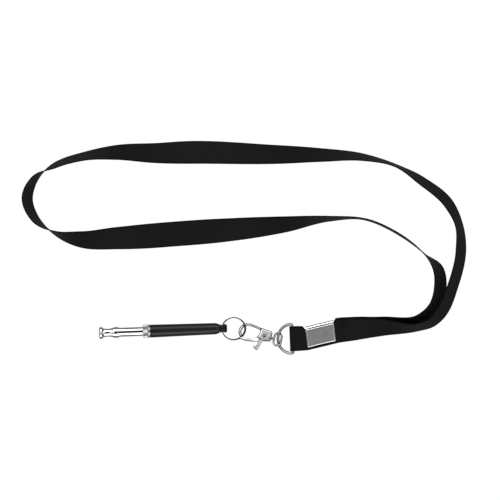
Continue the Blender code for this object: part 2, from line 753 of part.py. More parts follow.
def gate_outline():
    """The gate's arm from its tip to the pivot, its heel, and the thumb lever below."""
    tip = -CLASP_LENGTH + JAW_THICKNESS / 2 + 1.5 * MM
    wide = NOSE_HALF_WIDTH
    return [
        (tip - 0.9 * MM, -wide - 0.55 * MM), (tip + 0.1 * MM, -wide - 1.05 * MM),
        (tip + 3.2 * MM, -wide - 1.45 * MM), (tip + 7.0 * MM, -wide - 1.1 * MM),
        (-9.5 * MM, -wide - 0.75 * MM), (-9.9 * MM, -wide - 2.6 * MM), (-10.0 * MM, -wide - 4.4 * MM),
        (-9.2 * MM, -wide - 5.3 * MM), (-7.9 * MM, -wide - 5.8 * MM), (-7.1 * MM, -wide - 5.6 * MM),
        (-6.3 * MM, -wide - 3.2 * MM), (-5.2 * MM, -wide - 0.1 * MM), (-3.6 * MM, -3.0 * MM),
        (-3.25 * MM, -2.0 * MM), (-3.1 * MM, -0.6 * MM), (-3.6 * MM, 0.1 * MM), (-5.4 * MM, 0.35 * MM),
        (-6.9 * MM, 0.5 * MM), (-7.9 * MM, -0.7 * MM), (-9.6 * MM, -2.6 * MM), (-11.4 * MM, -3.75 * MM),
        (tip + 4.4 * MM, -wide + 0.3 * MM), (tip + 2.0 * MM, -wide + 0.25 * MM),
        (tip + 0.35 * MM, -wide + 0.45 * MM), (tip - 0.2 * MM, -wide + 0.15 * MM),
    ]


def make_gate_lever(parent, matrix, finish):
    item = plate("gate_lever", gate_outline(), GATE_THICKNESS)
    pin = PIVOT_DIAMETER / 2 + RUNNING_FIT
    bore = cylinder("gate_bore", pin, 4 * GATE_THICKNESS, Matrix.Translation(pin_place()), 16)
    item = combine(item, bore, "DIFFERENCE")
    return place(item, parent, matrix, finish)


def make_gate_pivot_pin(parent, matrix, finish):
    """A rivet with a low domed head on each side of the body."""
    half = CLASP_BODY_THICKNESS / 2 + RUNNING_FIT
    top = half + RIVET_HEAD_HEIGHT
    head = RIVET_HEAD_DIAMETER / 2
    pin = PIVOT_DIAMETER / 2
    side = [(top, head * 0.55), (half + RIVET_HEAD_HEIGHT * 0.4, head * 0.95), (half, head), (half, pin)]
    profile = [(top, 0)] + side + [(-x, y) for x, y in reversed(side)] + [(-top, 0)]
    item = turned("gate_pivot_pin", profile, closed=False, steps=16)
    upright = matrix @ Matrix.Translation(pin_place()) @ turn(-90, "Y")
    return place(item, parent, upright, finish)


def make_gate_spring(parent, matrix, finish):
    """A short coil between the gate's heel and the roof of its slot."""
    low = 0.38 * MM
    high = 1.72 * MM
    turns = 4
    count = 8 * turns
    radius = (SPRING_DIAMETER - SPRING_WIRE) / 2
    middle = PIVOT_X + 1.05 * MM
    points = []
    for i in range(count + 1):
        angle = 2 * math.pi * turns * i / count
        rise = low + (high - low) * i / count
        points.append((middle + radius * math.cos(angle), rise, radius * math.sin(angle)))
    item = wire("gate_spring", points, SPRING_WIRE / 2, sides=4)
    return place(item, parent, matrix, finish)


# ---------------------------------------------------------------- swivel eye and D-ring

def oval(length, width, count):
    """A rounded loop in a plane, centred, with its long side along Y."""
    radius = length / 2
    straight = width / 2 - radius
    points = arc((0, straight), radius, 0, 180, count)
    points += arc((0, -straight), radius, 180, 360, count)
    return points


def make_swivel_eye(parent, matrix, finish):
    loop = [(x, y, 0.0) for x, y in oval(EYE_LENGTH - EYE_WIRE, EYE_WIDTH - EYE_WIRE, 9)]
    item = wire("swivel_eye", loop, EYE_WIRE / 2, cyclic=True, sides=10)
    root = -EYE_LENGTH / 2 - EYE_NECK
    head_front = root - CLASP_END_WALL - JOINED_GAP
    stem = STEM_DIAMETER / 2
    head = STEM_HEAD_DIAMETER / 2
    rim = -EYE_LENGTH / 2 + EYE_WIRE / 2
    collar = stem + 0.3 * MM
    profile = [
        (rim, 0), (rim, stem), (-EYE_LENGTH / 2 - 0.1 * MM, stem), (-EYE_LENGTH / 2 - 0.2 * MM, collar),
        (root + 0.35 * MM, collar), (root + 0.2 * MM, stem), (head_front, stem), (head_front, head),
        (head_front - STEM_HEAD_LENGTH, head * 0.8), (head_front - STEM_HEAD_LENGTH, 0),
    ]
    stem_piece = turned("swivel_stem", profile, closed=False, steps=16)
    item = combine(item, stem_piece, "UNION")
    return place(item, parent, matrix, finish)


def d_ring_line():
    """The bar along Y at x = 0, two small corners, and the arc out to -X."""
    half = (D_RING_BAR - D_RING_WIRE) / 2
    corner = D_RING_CORNER
    points = [Vector((0, -half + corner, 0)), Vector((0, 0, 0)), Vector((0, half - corner, 0))]
    points += [Vector((x, y, 0)) for x, y in arc((-corner, half - corner), corner, 20, 90, 4)]
    steps = 18
    for i in range(1, steps):
        angle = math.radians(90 + 180 * i / steps)
        reach = D_RING_DEPTH - corner
        points.append(Vector((-corner + reach * math.cos(angle), half * math.sin(angle), 0)))
    points += [Vector((x, y, 0)) for x, y in arc((-corner, -half + corner), corner, 270, 340, 4)]
    return points


def make_d_ring(parent, matrix, finish):
    item = wire("d_ring", d_ring_line(), D_RING_WIRE / 2, cyclic=True, sides=10)
    return place(item, parent, matrix, finish)


# ---------------------------------------------------------------- strap

def ribbon_in_crimp():
    """The ribbon's width inside the crimp, and its middle across the crimp."""
    top = CRIMP_WIDTH / 2 - CRIMP_PLATE - CRIMP_INSIDE / 2 + RIBBON_IN_FOLD
    bottom = -CRIMP_WIDTH / 2 - RIBBON_BELOW_CRIMP
    return top - bottom, (top + bottom) / 2


def make_strap_crimp(parent, matrix, finish):
    """A plate folded over the strap's upper edge, its ends cut on the skew."""
    half = CRIMP_WIDTH / 2
    height = CRIMP_INSIDE + 2 * CRIMP_PLATE
    bend = height / 2
    inner = CRIMP_INSIDE / 2
    outline = [(-half, 0.0), (half - bend, 0.0)]
    outline += arc((half - bend, bend), bend, -70, 70, 6)
    outline += [(half - bend, height), (-half, height), (-half, height - CRIMP_PLATE)]
    outline += [(half - bend, height - CRIMP_PLATE)]
    outline += arc((half - bend, bend), inner, 70, -70, 6)
    outline += [(half - bend, CRIMP_PLATE), (-half, CRIMP_PLATE)]
    item = plate("strap_crimp", outline, CRIMP_LENGTH)
    upright = Matrix(((0, 0, 1, 0), (1, 0, 0, 0), (0, 1, 0, 0), (0, 0, 0, 1)))
    skew = Matrix.Identity(4)
    skew[0][1] = math.tan(math.radians(CRIMP_SKEW))
    item.data.transform(skew @ upright)
    return place(item, parent, matrix, finish)


def make_end_loop(parent, finish):
    """One piece of ribbon from the crimp's upper layer round the D-ring's bar to its lower layer."""
    crimp = crimp_matrix()
    bar = bar_matrix().translation
    width, middle = ribbon_in_crimp()
    inside = -LAYER_GAP / 2
    mouth = -CRIMP_LENGTH / 2 - 1.0 * MM
    around = D_RING_WIRE / 2 + BAR_FIT + RIBBON_THICKNESS / 2
    across_crimp = crimp.to_3x3() @ Vector((0, 1, 0))
    across_bar = Vector((0, 1, 0))
    centres = []
    widths = []
    for x in (inside, -CRIMP_LENGTH / 4, -CRIMP_LENGTH / 2, mouth):
        centres.append(crimp @ Vector((x, middle, UPPER_LAYER)))
        widths.append(across_crimp * -width)
    for x, z in arc((0, 0), around, 62, 298, 12):
        centres.append(bar + Vector((x, 0, z)))
        widths.append(across_bar * -RIBBON_WIDTH)
    for x in (mouth, -CRIMP_LENGTH / 2, -CRIMP_LENGTH / 4, inside):
        centres.append(crimp @ Vector((x, middle, LOWER_LAYER)))
        widths.append(across_crimp * -width)
    item = strip("ribbon_end_loop", centres, widths, RIBBON_THICKNESS)
    return place(item, parent, Matrix.Identity(4), finish)


def ribbon_knots():
    """The whole route: x, y, lean and lift, flat in both of the crimp's layers."""
    crimp = crimp_matrix()
    middle = ribbon_in_crimp()[1]
    reaches = (LAYER_GAP / 2, CRIMP_LENGTH / 4, CRIMP_LENGTH / 2, CRIMP_LENGTH / 2 + 1.5 * MM)
    starts = [(crimp @ Vector((x, middle, 0)), 0, UPPER_LAYER) for x in reaches]
    ends = [(crimp @ Vector((x, middle, 0)), -180, LOWER_LAYER) for x in reversed(reaches)]
    knots = [(spot.x, spot.y, lean, height - RIBBON_THICKNESS / 2) for spot, lean, height in starts]
    for x, y, lean, lift in RIBBON_ROUTE:
        knots.append((CRIMP_PLACE.x + x * MM, CRIMP_PLACE.y + y * MM, lean, lift * MM))
    knots += [(spot.x, spot.y, lean, height - RIBBON_THICKNESS / 2) for spot, lean, height in ends]
    return knots


def ribbon_width_at(share, length):
    """Full width along the loop, drawn in to the crimp at both ends."""
    crimped = ribbon_in_crimp()[0]
    near = min(share, 1 - share) * length
    start = CRIMP_LENGTH / 2
    ease = min(1.0, max(0.0, (near - start) / (14 * MM)))
    return crimped + (RIBBON_WIDTH - crimped) * ease * ease * (3 - 2 * ease)


def make_neck_ribbon(parent, finish):
    knots = ribbon_knots()
    route = smooth_path([(x, y, 0.0, lean) for x, y, lean, _ in knots], RIBBON_STATIONS)
    lifts = smooth_path([(x, y, 0.0, lift) for x, y, _, lift in knots], RIBBON_STATIONS)
    length = sum((b.to_3d() - a.to_3d()).length for a, b in zip(route, route[1:]))
    centres = []
    widths = []
    for i, spot in enumerate(route):
        before = route[max(i - 1, 0)].to_3d()
        after = route[min(i + 1, len(route) - 1)].to_3d()
        heading = (after - before).normalized()
        left = Vector((-heading.y, heading.x, 0))
        lean = math.radians(spot.w)
        width = ribbon_width_at(i / (len(route) - 1), length)
        across = left * -math.cos(lean) + Vector((0, 0, math.sin(lean)))
        resting = width / 2 * abs(math.sin(lean)) + RIBBON_THICKNESS / 2 * abs(math.cos(lean))
        height = max(resting + lifts[i].w, resting + FLOOR_GAP)
        centres.append(Vector((spot.x, spot.y, height)))
        widths.append(across * width)
    item = strip("neck_ribbon", centres, widths, RIBBON_THICKNESS)
    return place(item, parent, Matrix.Identity(4), finish)


# ---------------------------------------------------------------- assembly

def centre_assembly(root, left_out):
    """Moves everything so that the hardware's bottom centre is the origin."""
    bpy.context.view_layer.update()
    low = Vector((1e9, 1e9, 1e9))
    high = -low
    for item in PARTS.objects:
        if item.type != "MESH" or item.name in left_out:
            continue
        for vertex in item.data.vertices:
            spot = item.matrix_world @ vertex.co
            low = Vector(map(min, low, spot))
            high = Vector(map(max, high, spot))
    root.location = (-(low.x + high.x) / 2, -(low.y + high.y) / 2, 0)


clear_scene()
PARTS = new_collection("training_whistle")
CUTTERS = new_collection("cutters", hidden=True)

NICKEL = material("polished_nickel", (0.80, 0.80, 0.78), 1.0, 0.12)
BLACK = material("black_anodised", (0.02, 0.02, 0.022), 0.3, 0.35)
BRASS = material("brass", (0.72, 0.55, 0.25), 1.0, 0.25)
STEEL = material("spring_steel", (0.55, 0.55, 0.56), 1.0, 0.25)
CHROME = material("bright_chrome", (0.85, 0.85, 0.86), 1.0, 0.08)
SATIN = material("satin_nickel", (0.52, 0.52, 0.51), 1.0, 0.38)
RUBBER = material("black_rubber", (0.03, 0.03, 0.03), 0.0, 0.7)
RIBBON = material("black_satin_ribbon", (0.015, 0.015, 0.017), 0.0, 0.45)

ASSEMBLY = frame("assembly", Matrix.Identity(4))
WHISTLE = whistle_matrix()
BARREL_FRAME = frame("barrel_frame", WHISTLE, ASSEMBLY)
PISTON_FRAME = frame("tuning_turn", WHISTLE, BARREL_FRAME)
TUBE_FRAME = frame("tuning_travel", WHISTLE, PISTON_FRAME)
RING_FRAME = frame("tail_hole", Matrix.Translation(hole_centre()), BARREL_FRAME)
CLASP_FRAME = frame("clasp_contacts", clasp_hinge_matrix(), RING_FRAME)
GATE_FRAME = frame("gate_pivot", clasp_matrix() @ Matrix.Translation(pin_place()), CLASP_FRAME)
SWIVEL_FRAME = frame("swivel_axis", eye_matrix(), CLASP_FRAME)
D_RING_FRAME = frame("eye_contacts", d_ring_hinge_matrix(), SWIVEL_FRAME)
STRAP_FRAME = frame("d_ring_bar", bar_matrix(), D_RING_FRAME)

make_barrel_sleeve(BARREL_FRAME, WHISTLE, BLACK)
make_threaded_bush(BARREL_FRAME, WHISTLE, BRASS)
make_piston_rod(BARREL_FRAME, WHISTLE, STEEL)
make_tail_plug(BARREL_FRAME, WHISTLE, BLACK)
make_piston_head(PISTON_FRAME, WHISTLE, BRASS)
make_piston_seal(PISTON_FRAME, WHISTLE, RUBBER)
make_mouthpiece(TUBE_FRAME, WHISTLE, NICKEL)
make_fipple_plug(TUBE_FRAME, WHISTLE, NICKEL)
make_resonator_tube(TUBE_FRAME, WHISTLE, NICKEL)
make_lock_ring(TUBE_FRAME, WHISTLE, NICKEL)
make_split_ring(RING_FRAME, ring_matrix(), CHROME)
make_clasp_hook(CLASP_FRAME, clasp_matrix(), CHROME)
make_gate_pivot_pin(CLASP_FRAME, clasp_matrix(), CHROME)
make_gate_spring(CLASP_FRAME, clasp_matrix(), STEEL)
make_gate_lever(GATE_FRAME, clasp_matrix(), CHROME)
make_swivel_eye(SWIVEL_FRAME, eye_matrix(), CHROME)
make_d_ring(D_RING_FRAME, bar_matrix(), CHROME)
make_strap_crimp(STRAP_FRAME, crimp_matrix(), SATIN)
make_end_loop(STRAP_FRAME, RIBBON)
make_neck_ribbon(STRAP_FRAME, RIBBON)

centre_assembly(ASSEMBLY, {"neck_ribbon"})
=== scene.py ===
import json
import math

import bpy
from mathutils import Matrix, Vector


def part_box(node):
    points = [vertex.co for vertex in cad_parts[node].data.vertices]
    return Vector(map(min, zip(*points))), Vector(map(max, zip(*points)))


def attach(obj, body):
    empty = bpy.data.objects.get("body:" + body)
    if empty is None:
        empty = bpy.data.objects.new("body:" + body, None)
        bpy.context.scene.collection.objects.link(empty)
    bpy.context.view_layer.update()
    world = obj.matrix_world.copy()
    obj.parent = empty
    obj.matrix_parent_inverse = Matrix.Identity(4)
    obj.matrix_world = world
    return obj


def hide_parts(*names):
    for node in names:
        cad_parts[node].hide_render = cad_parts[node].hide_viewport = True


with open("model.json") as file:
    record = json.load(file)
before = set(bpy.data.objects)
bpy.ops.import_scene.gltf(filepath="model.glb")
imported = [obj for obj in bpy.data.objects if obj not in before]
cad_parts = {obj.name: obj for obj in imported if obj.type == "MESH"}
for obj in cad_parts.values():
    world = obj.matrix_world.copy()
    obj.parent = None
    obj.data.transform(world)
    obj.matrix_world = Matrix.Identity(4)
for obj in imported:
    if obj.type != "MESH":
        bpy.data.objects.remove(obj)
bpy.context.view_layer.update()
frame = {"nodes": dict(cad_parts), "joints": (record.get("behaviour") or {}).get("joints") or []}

# ==================================================================== Light table and camera
# The whistle is held well above an opal light table, inside a plain white light tent. The tent is open at its
# top, where the camera looks straight down. The table lies so low that nothing meets it when a joint is
# moved. A soft box stands at each long side.

bpy.ops.object.select_all(action="DESELECT")
crimp_low, crimp_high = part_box("strap_crimp")
crimp_centre = Vector(((crimp_low.x + crimp_high.x) / 2, (crimp_low.y + crimp_high.y) / 2, 0.0))

table_drop = 0.3
bpy.ops.mesh.primitive_plane_add(size=12.0, location=(0.0, 0.0, -table_drop))
light_table = bpy.context.object
light_table.name = "light_table"

bpy.context.scene.view_settings.view_transform = "Standard"
table_top = bpy.data.materials.new("opal_table_top")
table_top.use_nodes = True
nodes, links = table_top.node_tree.nodes, table_top.node_tree.links
opal = nodes["Principled BSDF"]
opal.inputs["Base Color"].default_value = (0.26, 0.26, 0.26, 1.0)
opal.inputs["Roughness"].default_value = 0.9
opal.inputs["Specular IOR Level"].default_value = 0.0
glow = nodes.new("ShaderNodeEmission")
glow.inputs["Color"].default_value = (1.0, 1.0, 1.0, 1.0)
glow.inputs["Strength"].default_value = 1.02
seen = nodes.new("ShaderNodeLightPath")
lit = nodes.new("ShaderNodeMixShader")
links.new(seen.outputs["Is Camera Ray"], lit.inputs["Fac"])
links.new(opal.outputs["BSDF"], lit.inputs[1])
links.new(glow.outputs["Emission"], lit.inputs[2])
links.new(lit.outputs["Shader"], nodes["Material Output"].inputs["Surface"])
light_table.data.materials.append(table_top)

tent = bpy.data.worlds.new("light_tent")
tent.use_nodes = True
bpy.context.scene.world = tent
nodes, links = tent.node_tree.nodes, tent.node_tree.links
direction = nodes.new("ShaderNodeTexCoord")
parts = nodes.new("ShaderNodeSeparateXYZ")
links.new(direction.outputs["Generated"], parts.inputs["Vector"])
wall = nodes.new("ShaderNodeValToRGB")
wall.color_ramp.elements[0].position = 0.0
wall.color_ramp.elements[0].color = (0.02, 0.02, 0.02, 1.0)
wall.color_ramp.elements[1].position = 1.0
wall.color_ramp.elements[1].color = (0.01, 0.01, 0.01, 1.0)
tent_bands = ((0.16, 0.03), (0.40, 1.0), (0.905, 1.0), (0.950, 0.02))
for height, level in tent_bands:
    stop = wall.color_ramp.elements.new(height)
    stop.color = (level, level, level, 1.0)
links.new(parts.outputs["Z"], wall.inputs["Fac"])
around = nodes.new("ShaderNodeMath")
around.operation = "ARCTAN2"
links.new(parts.outputs["Y"], around.inputs[0])
links.new(parts.outputs["X"], around.inputs[1])
folds = nodes.new("ShaderNodeMath")
folds.operation = "MULTIPLY"
folds.inputs[1].default_value = 3.0
links.new(around.outputs["Value"], folds.inputs[0])
swing = nodes.new("ShaderNodeMath")
swing.operation = "SINE"
links.new(folds.outputs["Value"], swing.inputs[0])
panels = nodes.new("ShaderNodeMapRange")
panels.inputs["From Min"].default_value = -1.0
panels.inputs["To Min"].default_value = 0.45
links.new(swing.outputs["Value"], panels.inputs["Value"])
cloth_wall = nodes.new("ShaderNodeMix")
cloth_wall.data_type = "RGBA"
cloth_wall.blend_type = "MULTIPLY"
cloth_wall.inputs["Factor"].default_value = 1.0
links.new(wall.outputs["Color"], cloth_wall.inputs["A"])
links.new(panels.outputs["Result"], cloth_wall.inputs["B"])
links.new(cloth_wall.outputs["Result"], nodes["Background"].inputs["Color"])
nodes["Background"].inputs["Strength"].default_value = 1.25

for name, side in (("soft_box_front", -1), ("soft_box_back", 1)):
    bpy.ops.object.light_add(type="AREA", location=(0.02, side * 1.1, 0.75))
    soft_box = bpy.context.object
    soft_box.name = name
    soft_box.data.shape = "RECTANGLE"
    soft_box.data.size = 1.6
    soft_box.data.size_y = 0.7
    soft_box.data.energy = 11.0
    aim = Vector((0.02, 0.03, 0.0)) - soft_box.location
    soft_box.rotation_euler = aim.to_track_quat("-Z", "Y").to_euler()

camera_height = 2.0
camera_tilt = math.radians(-2.15)
view_width = 0.3125
sensor_width = 36.0
camera_offset = Vector((-0.04198, 0.05401, camera_height))
bpy.ops.object.camera_add(location=crimp_centre + camera_offset)
camera = bpy.context.object
camera.name = "overhead_camera"
camera.rotation_euler = (0.0, 0.0, camera_tilt)
camera.data.sensor_width = sensor_width
camera.data.lens = sensor_width * camera_height / view_width
camera.data.clip_start = 0.05
bpy.context.scene.camera = camera

# ==================================================================== Neck ribbon
# One length of 5/8 in black polyester satin ribbon, woven with firm selvedges. It leaves the crimp's upper
# layer, runs round the neck loop, mostly leaning on its outer edge, and comes back into the lower layer.

MM = 0.001
ribbon_width = 15.6 * MM
ribbon_thickness = 0.7 * MM
layer_gap = 0.3 * MM
crimp_length = 18.0 * MM
crimp_width = 13.2 * MM
crimp_plate = 0.5 * MM
crimp_angle = math.radians(11.4)
crimp_turn = Matrix.Rotation(crimp_angle, 4, "Z")
crimp_place = Matrix.Translation(crimp_centre) @ crimp_turn
crimp_inside = 2 * ribbon_thickness + 3 * layer_gap
lower_layer = crimp_plate + layer_gap + ribbon_thickness / 2
upper_layer = lower_layer + ribbon_thickness + layer_gap
pinched_top = crimp_width / 2 - crimp_plate - crimp_inside / 2 + 0.35 * MM
pinched_foot = -crimp_width / 2 - 1.5 * MM
pinched_width = pinched_top - pinched_foot
pinched_middle = (pinched_top + pinched_foot) / 2

# x and y from the crimp's centre in metres, the lean in degrees, and the lift in metres. Lean 0 lies flat,
# -90 stands on the outer edge, and -180 lies flat with the other face up.
ribbon_route = (
    (0.0186, 0.0019, -20, 0.00135), (0.0375, 0.0026, -46, 0.00045), (0.0605, 0.0020, -71, 0),
    (0.0696, 0.0047, -67, 0), (0.0758, 0.0108, -61, 0), (0.0835, 0.0270, -62, 0),
    (0.0893, 0.0490, -63, 0), (0.0886, 0.0650, -69, 0), (0.0825, 0.0785, -64, 0),
    (0.0670, 0.0926, -68, 0), (0.0500, 0.1034, -82, 0), (0.0300, 0.1092, -72, 0),
    (0.0040, 0.1115, -56, 0), (-0.0250, 0.1130, -39, 0), (-0.0740, 0.1162, -22, 0),
    (-0.0980, 0.1166, -35, 0), (-0.1230, 0.1179, -53, 0), (-0.1430, 0.1162, -69, 0),
    (-0.1610, 0.1114, -75, 0), (-0.1740, 0.1036, -101, 0), (-0.1794, 0.0915, -111, 0),
    (-0.1748, 0.0783, -105, 0), (-0.1620, 0.0686, -79, 0), (-0.1470, 0.0645, -50, 0),
    (-0.1240, 0.0645, -27, 0), (-0.0880, 0.0658, 0, 0), (-0.0500, 0.0673, -26, 0),
    (-0.0200, 0.0691, -51, 0), (0.0080, 0.0716, -79, 0), (0.0300, 0.0705, -88, 0),
    (0.0500, 0.0610, -88, 0), (0.0665, 0.0474, -93, 0), (0.0750, 0.0368, -118, 0),
    (0.0756, 0.0265, -122, 0), (0.0710, 0.0135, -121, 0), (0.0620, 0.0059, -123, 0),
    (0.0375, 0.0041, -134, 0), (0.0186, 0.0025, -160, 0.0004),
)


def smooth_path(points, count):
    """Evenly spaced values on a smooth curve. The fourth number keeps between its neighbours' values."""
    pieces = 24
    values = [Vector(point) for point in points]
    span = [(b.to_3d() - a.to_3d()).length for a, b in zip(values, values[1:])]
    rates = [(b - a) / length for a, b, length in zip(values, values[1:], span)]
    slopes = [rates[0]]
    for i in range(1, len(values) - 1):
        slope = (rates[i - 1] * span[i] + rates[i] * span[i - 1]) / (span[i - 1] + span[i])
        product = rates[i - 1].w * rates[i].w
        slope.w = 2 * product / (rates[i - 1].w + rates[i].w) if product > 0 else 0.0
        slopes.append(slope)
    slopes.append(rates[-1])
    fine = []
    for i, length in enumerate(span):
        for k in range(pieces):
            t = k / pieces
            fine.append(
                values[i] * (2 * t**3 - 3 * t**2 + 1)
                + slopes[i] * length * (t**3 - 2 * t**2 + t)
                + values[i + 1] * (3 * t**2 - 2 * t**3)
                + slopes[i + 1] * length * (t**3 - t**2)
            )
    fine.append(values[-1])
    travelled = [0.0]
    for a, b in zip(fine, fine[1:]):
        travelled.append(travelled[-1] + (b.to_3d() - a.to_3d()).length)
    found = []
    k = 0
    for i in range(count):
        at = travelled[-1] * i / (count - 1)
        while k < len(fine) - 2 and travelled[k + 1] < at:
            k += 1
        share = (at - travelled[k]) / (travelled[k + 1] - travelled[k])
        found.append(fine[k].lerp(fine[k + 1], share))
    return found


# Half of the ribbon's section: place across, from the edge at 1 to the middle, and share of the thickness.
selvedge = ((1.0, 0.0), (0.994, 0.55), (0.978, 0.95), (0.95, 1.06), (0.915, 1.0), (0.885, 0.86), (0.7, 0.9),
            (0.5, 0.9), (0.25, 0.9), (0.0, 0.9))


def woven_strip(name, centres, widths):
    """A ribbon's mesh along its centres, each with its vector of width, and a UV map in metres of cloth."""
    top = [(-place, share) for place, share in selvedge] + [(p, s) for p, s in reversed(selvedge[:-1])]
    ring = top + [(place, -share) for place, share in reversed(top[1:-1])]
    points, cloth = [], []
    along = 0.0
    for i, (centre, width) in enumerate(zip(centres, widths)):
        ahead = centres[min(i + 1, len(centres) - 1)] - centres[max(i - 1, 0)]
        face = ahead.cross(width).normalized()
        if i:
            along += (centre - centres[i - 1]).length
        for place, share in ring:
            points.append(centre + width * (place / 2) + face * (share * ribbon_thickness / 2))
            cloth.append((place * ribbon_width / 2, along + (0.0 if share >= 0 else 0.0002)))
    size = len(ring)
    faces = [tuple(range(size))]
    for i in range(len(centres) - 1):
        for k in range(size):
            a, b = i * size + k, i * size + (k + 1) % size
            faces.append((a, a + size, b + size, b))
    last = (len(centres) - 1) * size
    faces.append(tuple(last + size - 1 - k for k in range(size)))
    mesh = bpy.data.meshes.new(name)
    mesh.from_pydata(points, [], faces)
    uv = mesh.uv_layers.new(name="cloth")
    for loop in mesh.loops:
        uv.data[loop.index].uv = cloth[loop.vertex_index]
    strip = bpy.data.objects.new(name, mesh)
    bpy.context.scene.collection.objects.link(strip)
    bpy.ops.object.select_all(action="DESELECT")
    strip.select_set(True)
    bpy.context.view_layer.objects.active = strip
    bpy.ops.object.mode_set(mode="EDIT")
    bpy.ops.mesh.select_all(action="SELECT")
    bpy.ops.mesh.normals_make_consistent(inside=False)
    bpy.ops.object.mode_set(mode="OBJECT")
    bpy.ops.object.shade_smooth_by_angle(angle=math.radians(50))
    return strip


# Inside the crimp the ribbon runs straight, a little gathered. It is full width again just outside.
reaches = (layer_gap / 2, crimp_length / 4, crimp_length / 2, crimp_length / 2 + 1.5 * MM)
knots = []
for reach in reaches:
    spot = crimp_place @ Vector((reach, pinched_middle, 0.0))
    knots.append((spot.x, spot.y, 0, upper_layer - ribbon_thickness / 2))
for x, y, lean, lift in ribbon_route:
    knots.append((crimp_centre.x + x, crimp_centre.y + y, lean, lift))
for reach in reversed(reaches):
    spot = crimp_place @ Vector((reach, pinched_middle, 0.0))
    knots.append((spot.x, spot.y, -180, lower_layer - ribbon_thickness / 2))

stations = 640
route = smooth_path([(x, y, 0.0, lean) for x, y, lean, _ in knots], stations)
lifts = smooth_path([(x, y, 0.0, lift) for x, y, _, lift in knots], stations)
plan_length = sum((b.to_3d() - a.to_3d()).length for a, b in zip(route, route[1:]))
crimp_up = (crimp_turn @ Vector((0.0, 1.0, 0.0))).normalized()


def eased(share):
    share = min(1.0, max(0.0, share))
    return share * share * (3 - 2 * share)


neck_centres, neck_widths = [], []
for i, spot in enumerate(route):
    heading = (route[min(i + 1, stations - 1)] - route[max(i - 1, 0)]).to_3d().normalized()
    left = Vector((-heading.y, heading.x, 0.0))
    lean = math.radians(spot.w)
    near = min(i, stations - 1 - i) / (stations - 1) * plan_length - crimp_length / 2
    gathered = pinched_width + (ribbon_width - pinched_width) * eased(near / (14 * MM))
    width = pinched_width + (ribbon_width - pinched_width) * eased((near - 0.75 * MM) / (1.0 * MM))
    across = left * -math.cos(lean) + Vector((0.0, 0.0, math.sin(lean)))
    resting = width / 2 * abs(math.sin(lean)) + ribbon_thickness / 2 * abs(math.cos(lean))
    height = resting + max(lifts[i].w, 0.05 * MM)
    neck_centres.append(Vector((spot.x, spot.y, height)) + crimp_up * (width - gathered) / 2)
    neck_widths.append(across * width)

neck_loop = woven_strip("neck_loop_ribbon", neck_centres, neck_widths)


def weave_group():
    """Lengthwise satin ribs, cross picks and a little slub, from cloth coordinates in millimetres."""
    group = bpy.data.node_groups.new("satin_weave", "ShaderNodeTree")
    group.interface.new_socket("Cloth", in_out="INPUT", socket_type="NodeSocketVector")
    group.interface.new_socket("Rib Scale", in_out="INPUT", socket_type="NodeSocketFloat")
    group.interface.new_socket("Pick Scale", in_out="INPUT", socket_type="NodeSocketFloat")
    group.interface.new_socket("Height", in_out="OUTPUT", socket_type="NodeSocketFloat")
    group.interface.new_socket("Fibre", in_out="OUTPUT", socket_type="NodeSocketFloat")
    inside, wires = group.nodes, group.links
    given = inside.new("NodeGroupInput")
    result = inside.new("NodeGroupOutput")
    ribs = inside.new("ShaderNodeTexWave")
    ribs.bands_direction = "X"
    ribs.inputs["Distortion"].default_value = 0.3
    picks = inside.new("ShaderNodeTexWave")
    picks.bands_direction = "Y"
    picks.inputs["Distortion"].default_value = 0.6
    slub = inside.new("ShaderNodeTexNoise")
    slub.inputs["Scale"].default_value = 0.9
    slub.inputs["Detail"].default_value = 6.0
    wires.new(given.outputs["Cloth"], ribs.inputs["Vector"])
    wires.new(given.outputs["Cloth"], picks.inputs["Vector"])
    wires.new(given.outputs["Cloth"], slub.inputs["Vector"])
    wires.new(given.outputs["Rib Scale"], ribs.inputs["Scale"])
    wires.new(given.outputs["Pick Scale"], picks.inputs["Scale"])
    crossed = inside.new("ShaderNodeMath")
    crossed.operation = "MULTIPLY_ADD"
    crossed.inputs[1].default_value = 0.35
    wires.new(picks.outputs["Fac"], crossed.inputs[0])
    wires.new(ribs.outputs["Fac"], crossed.inputs[2])
    uneven = inside.new("ShaderNodeMath")
    uneven.operation = "MULTIPLY_ADD"
    uneven.inputs[1].default_value = 0.5
    wires.new(slub.outputs["Fac"], uneven.inputs[0])
    wires.new(crossed.outputs["Value"], uneven.inputs[2])
    wires.new(uneven.outputs["Value"], result.inputs["Height"])
    wires.new(slub.outputs["Fac"], result.inputs["Fibre"])
    return group


satin_weave = weave_group()


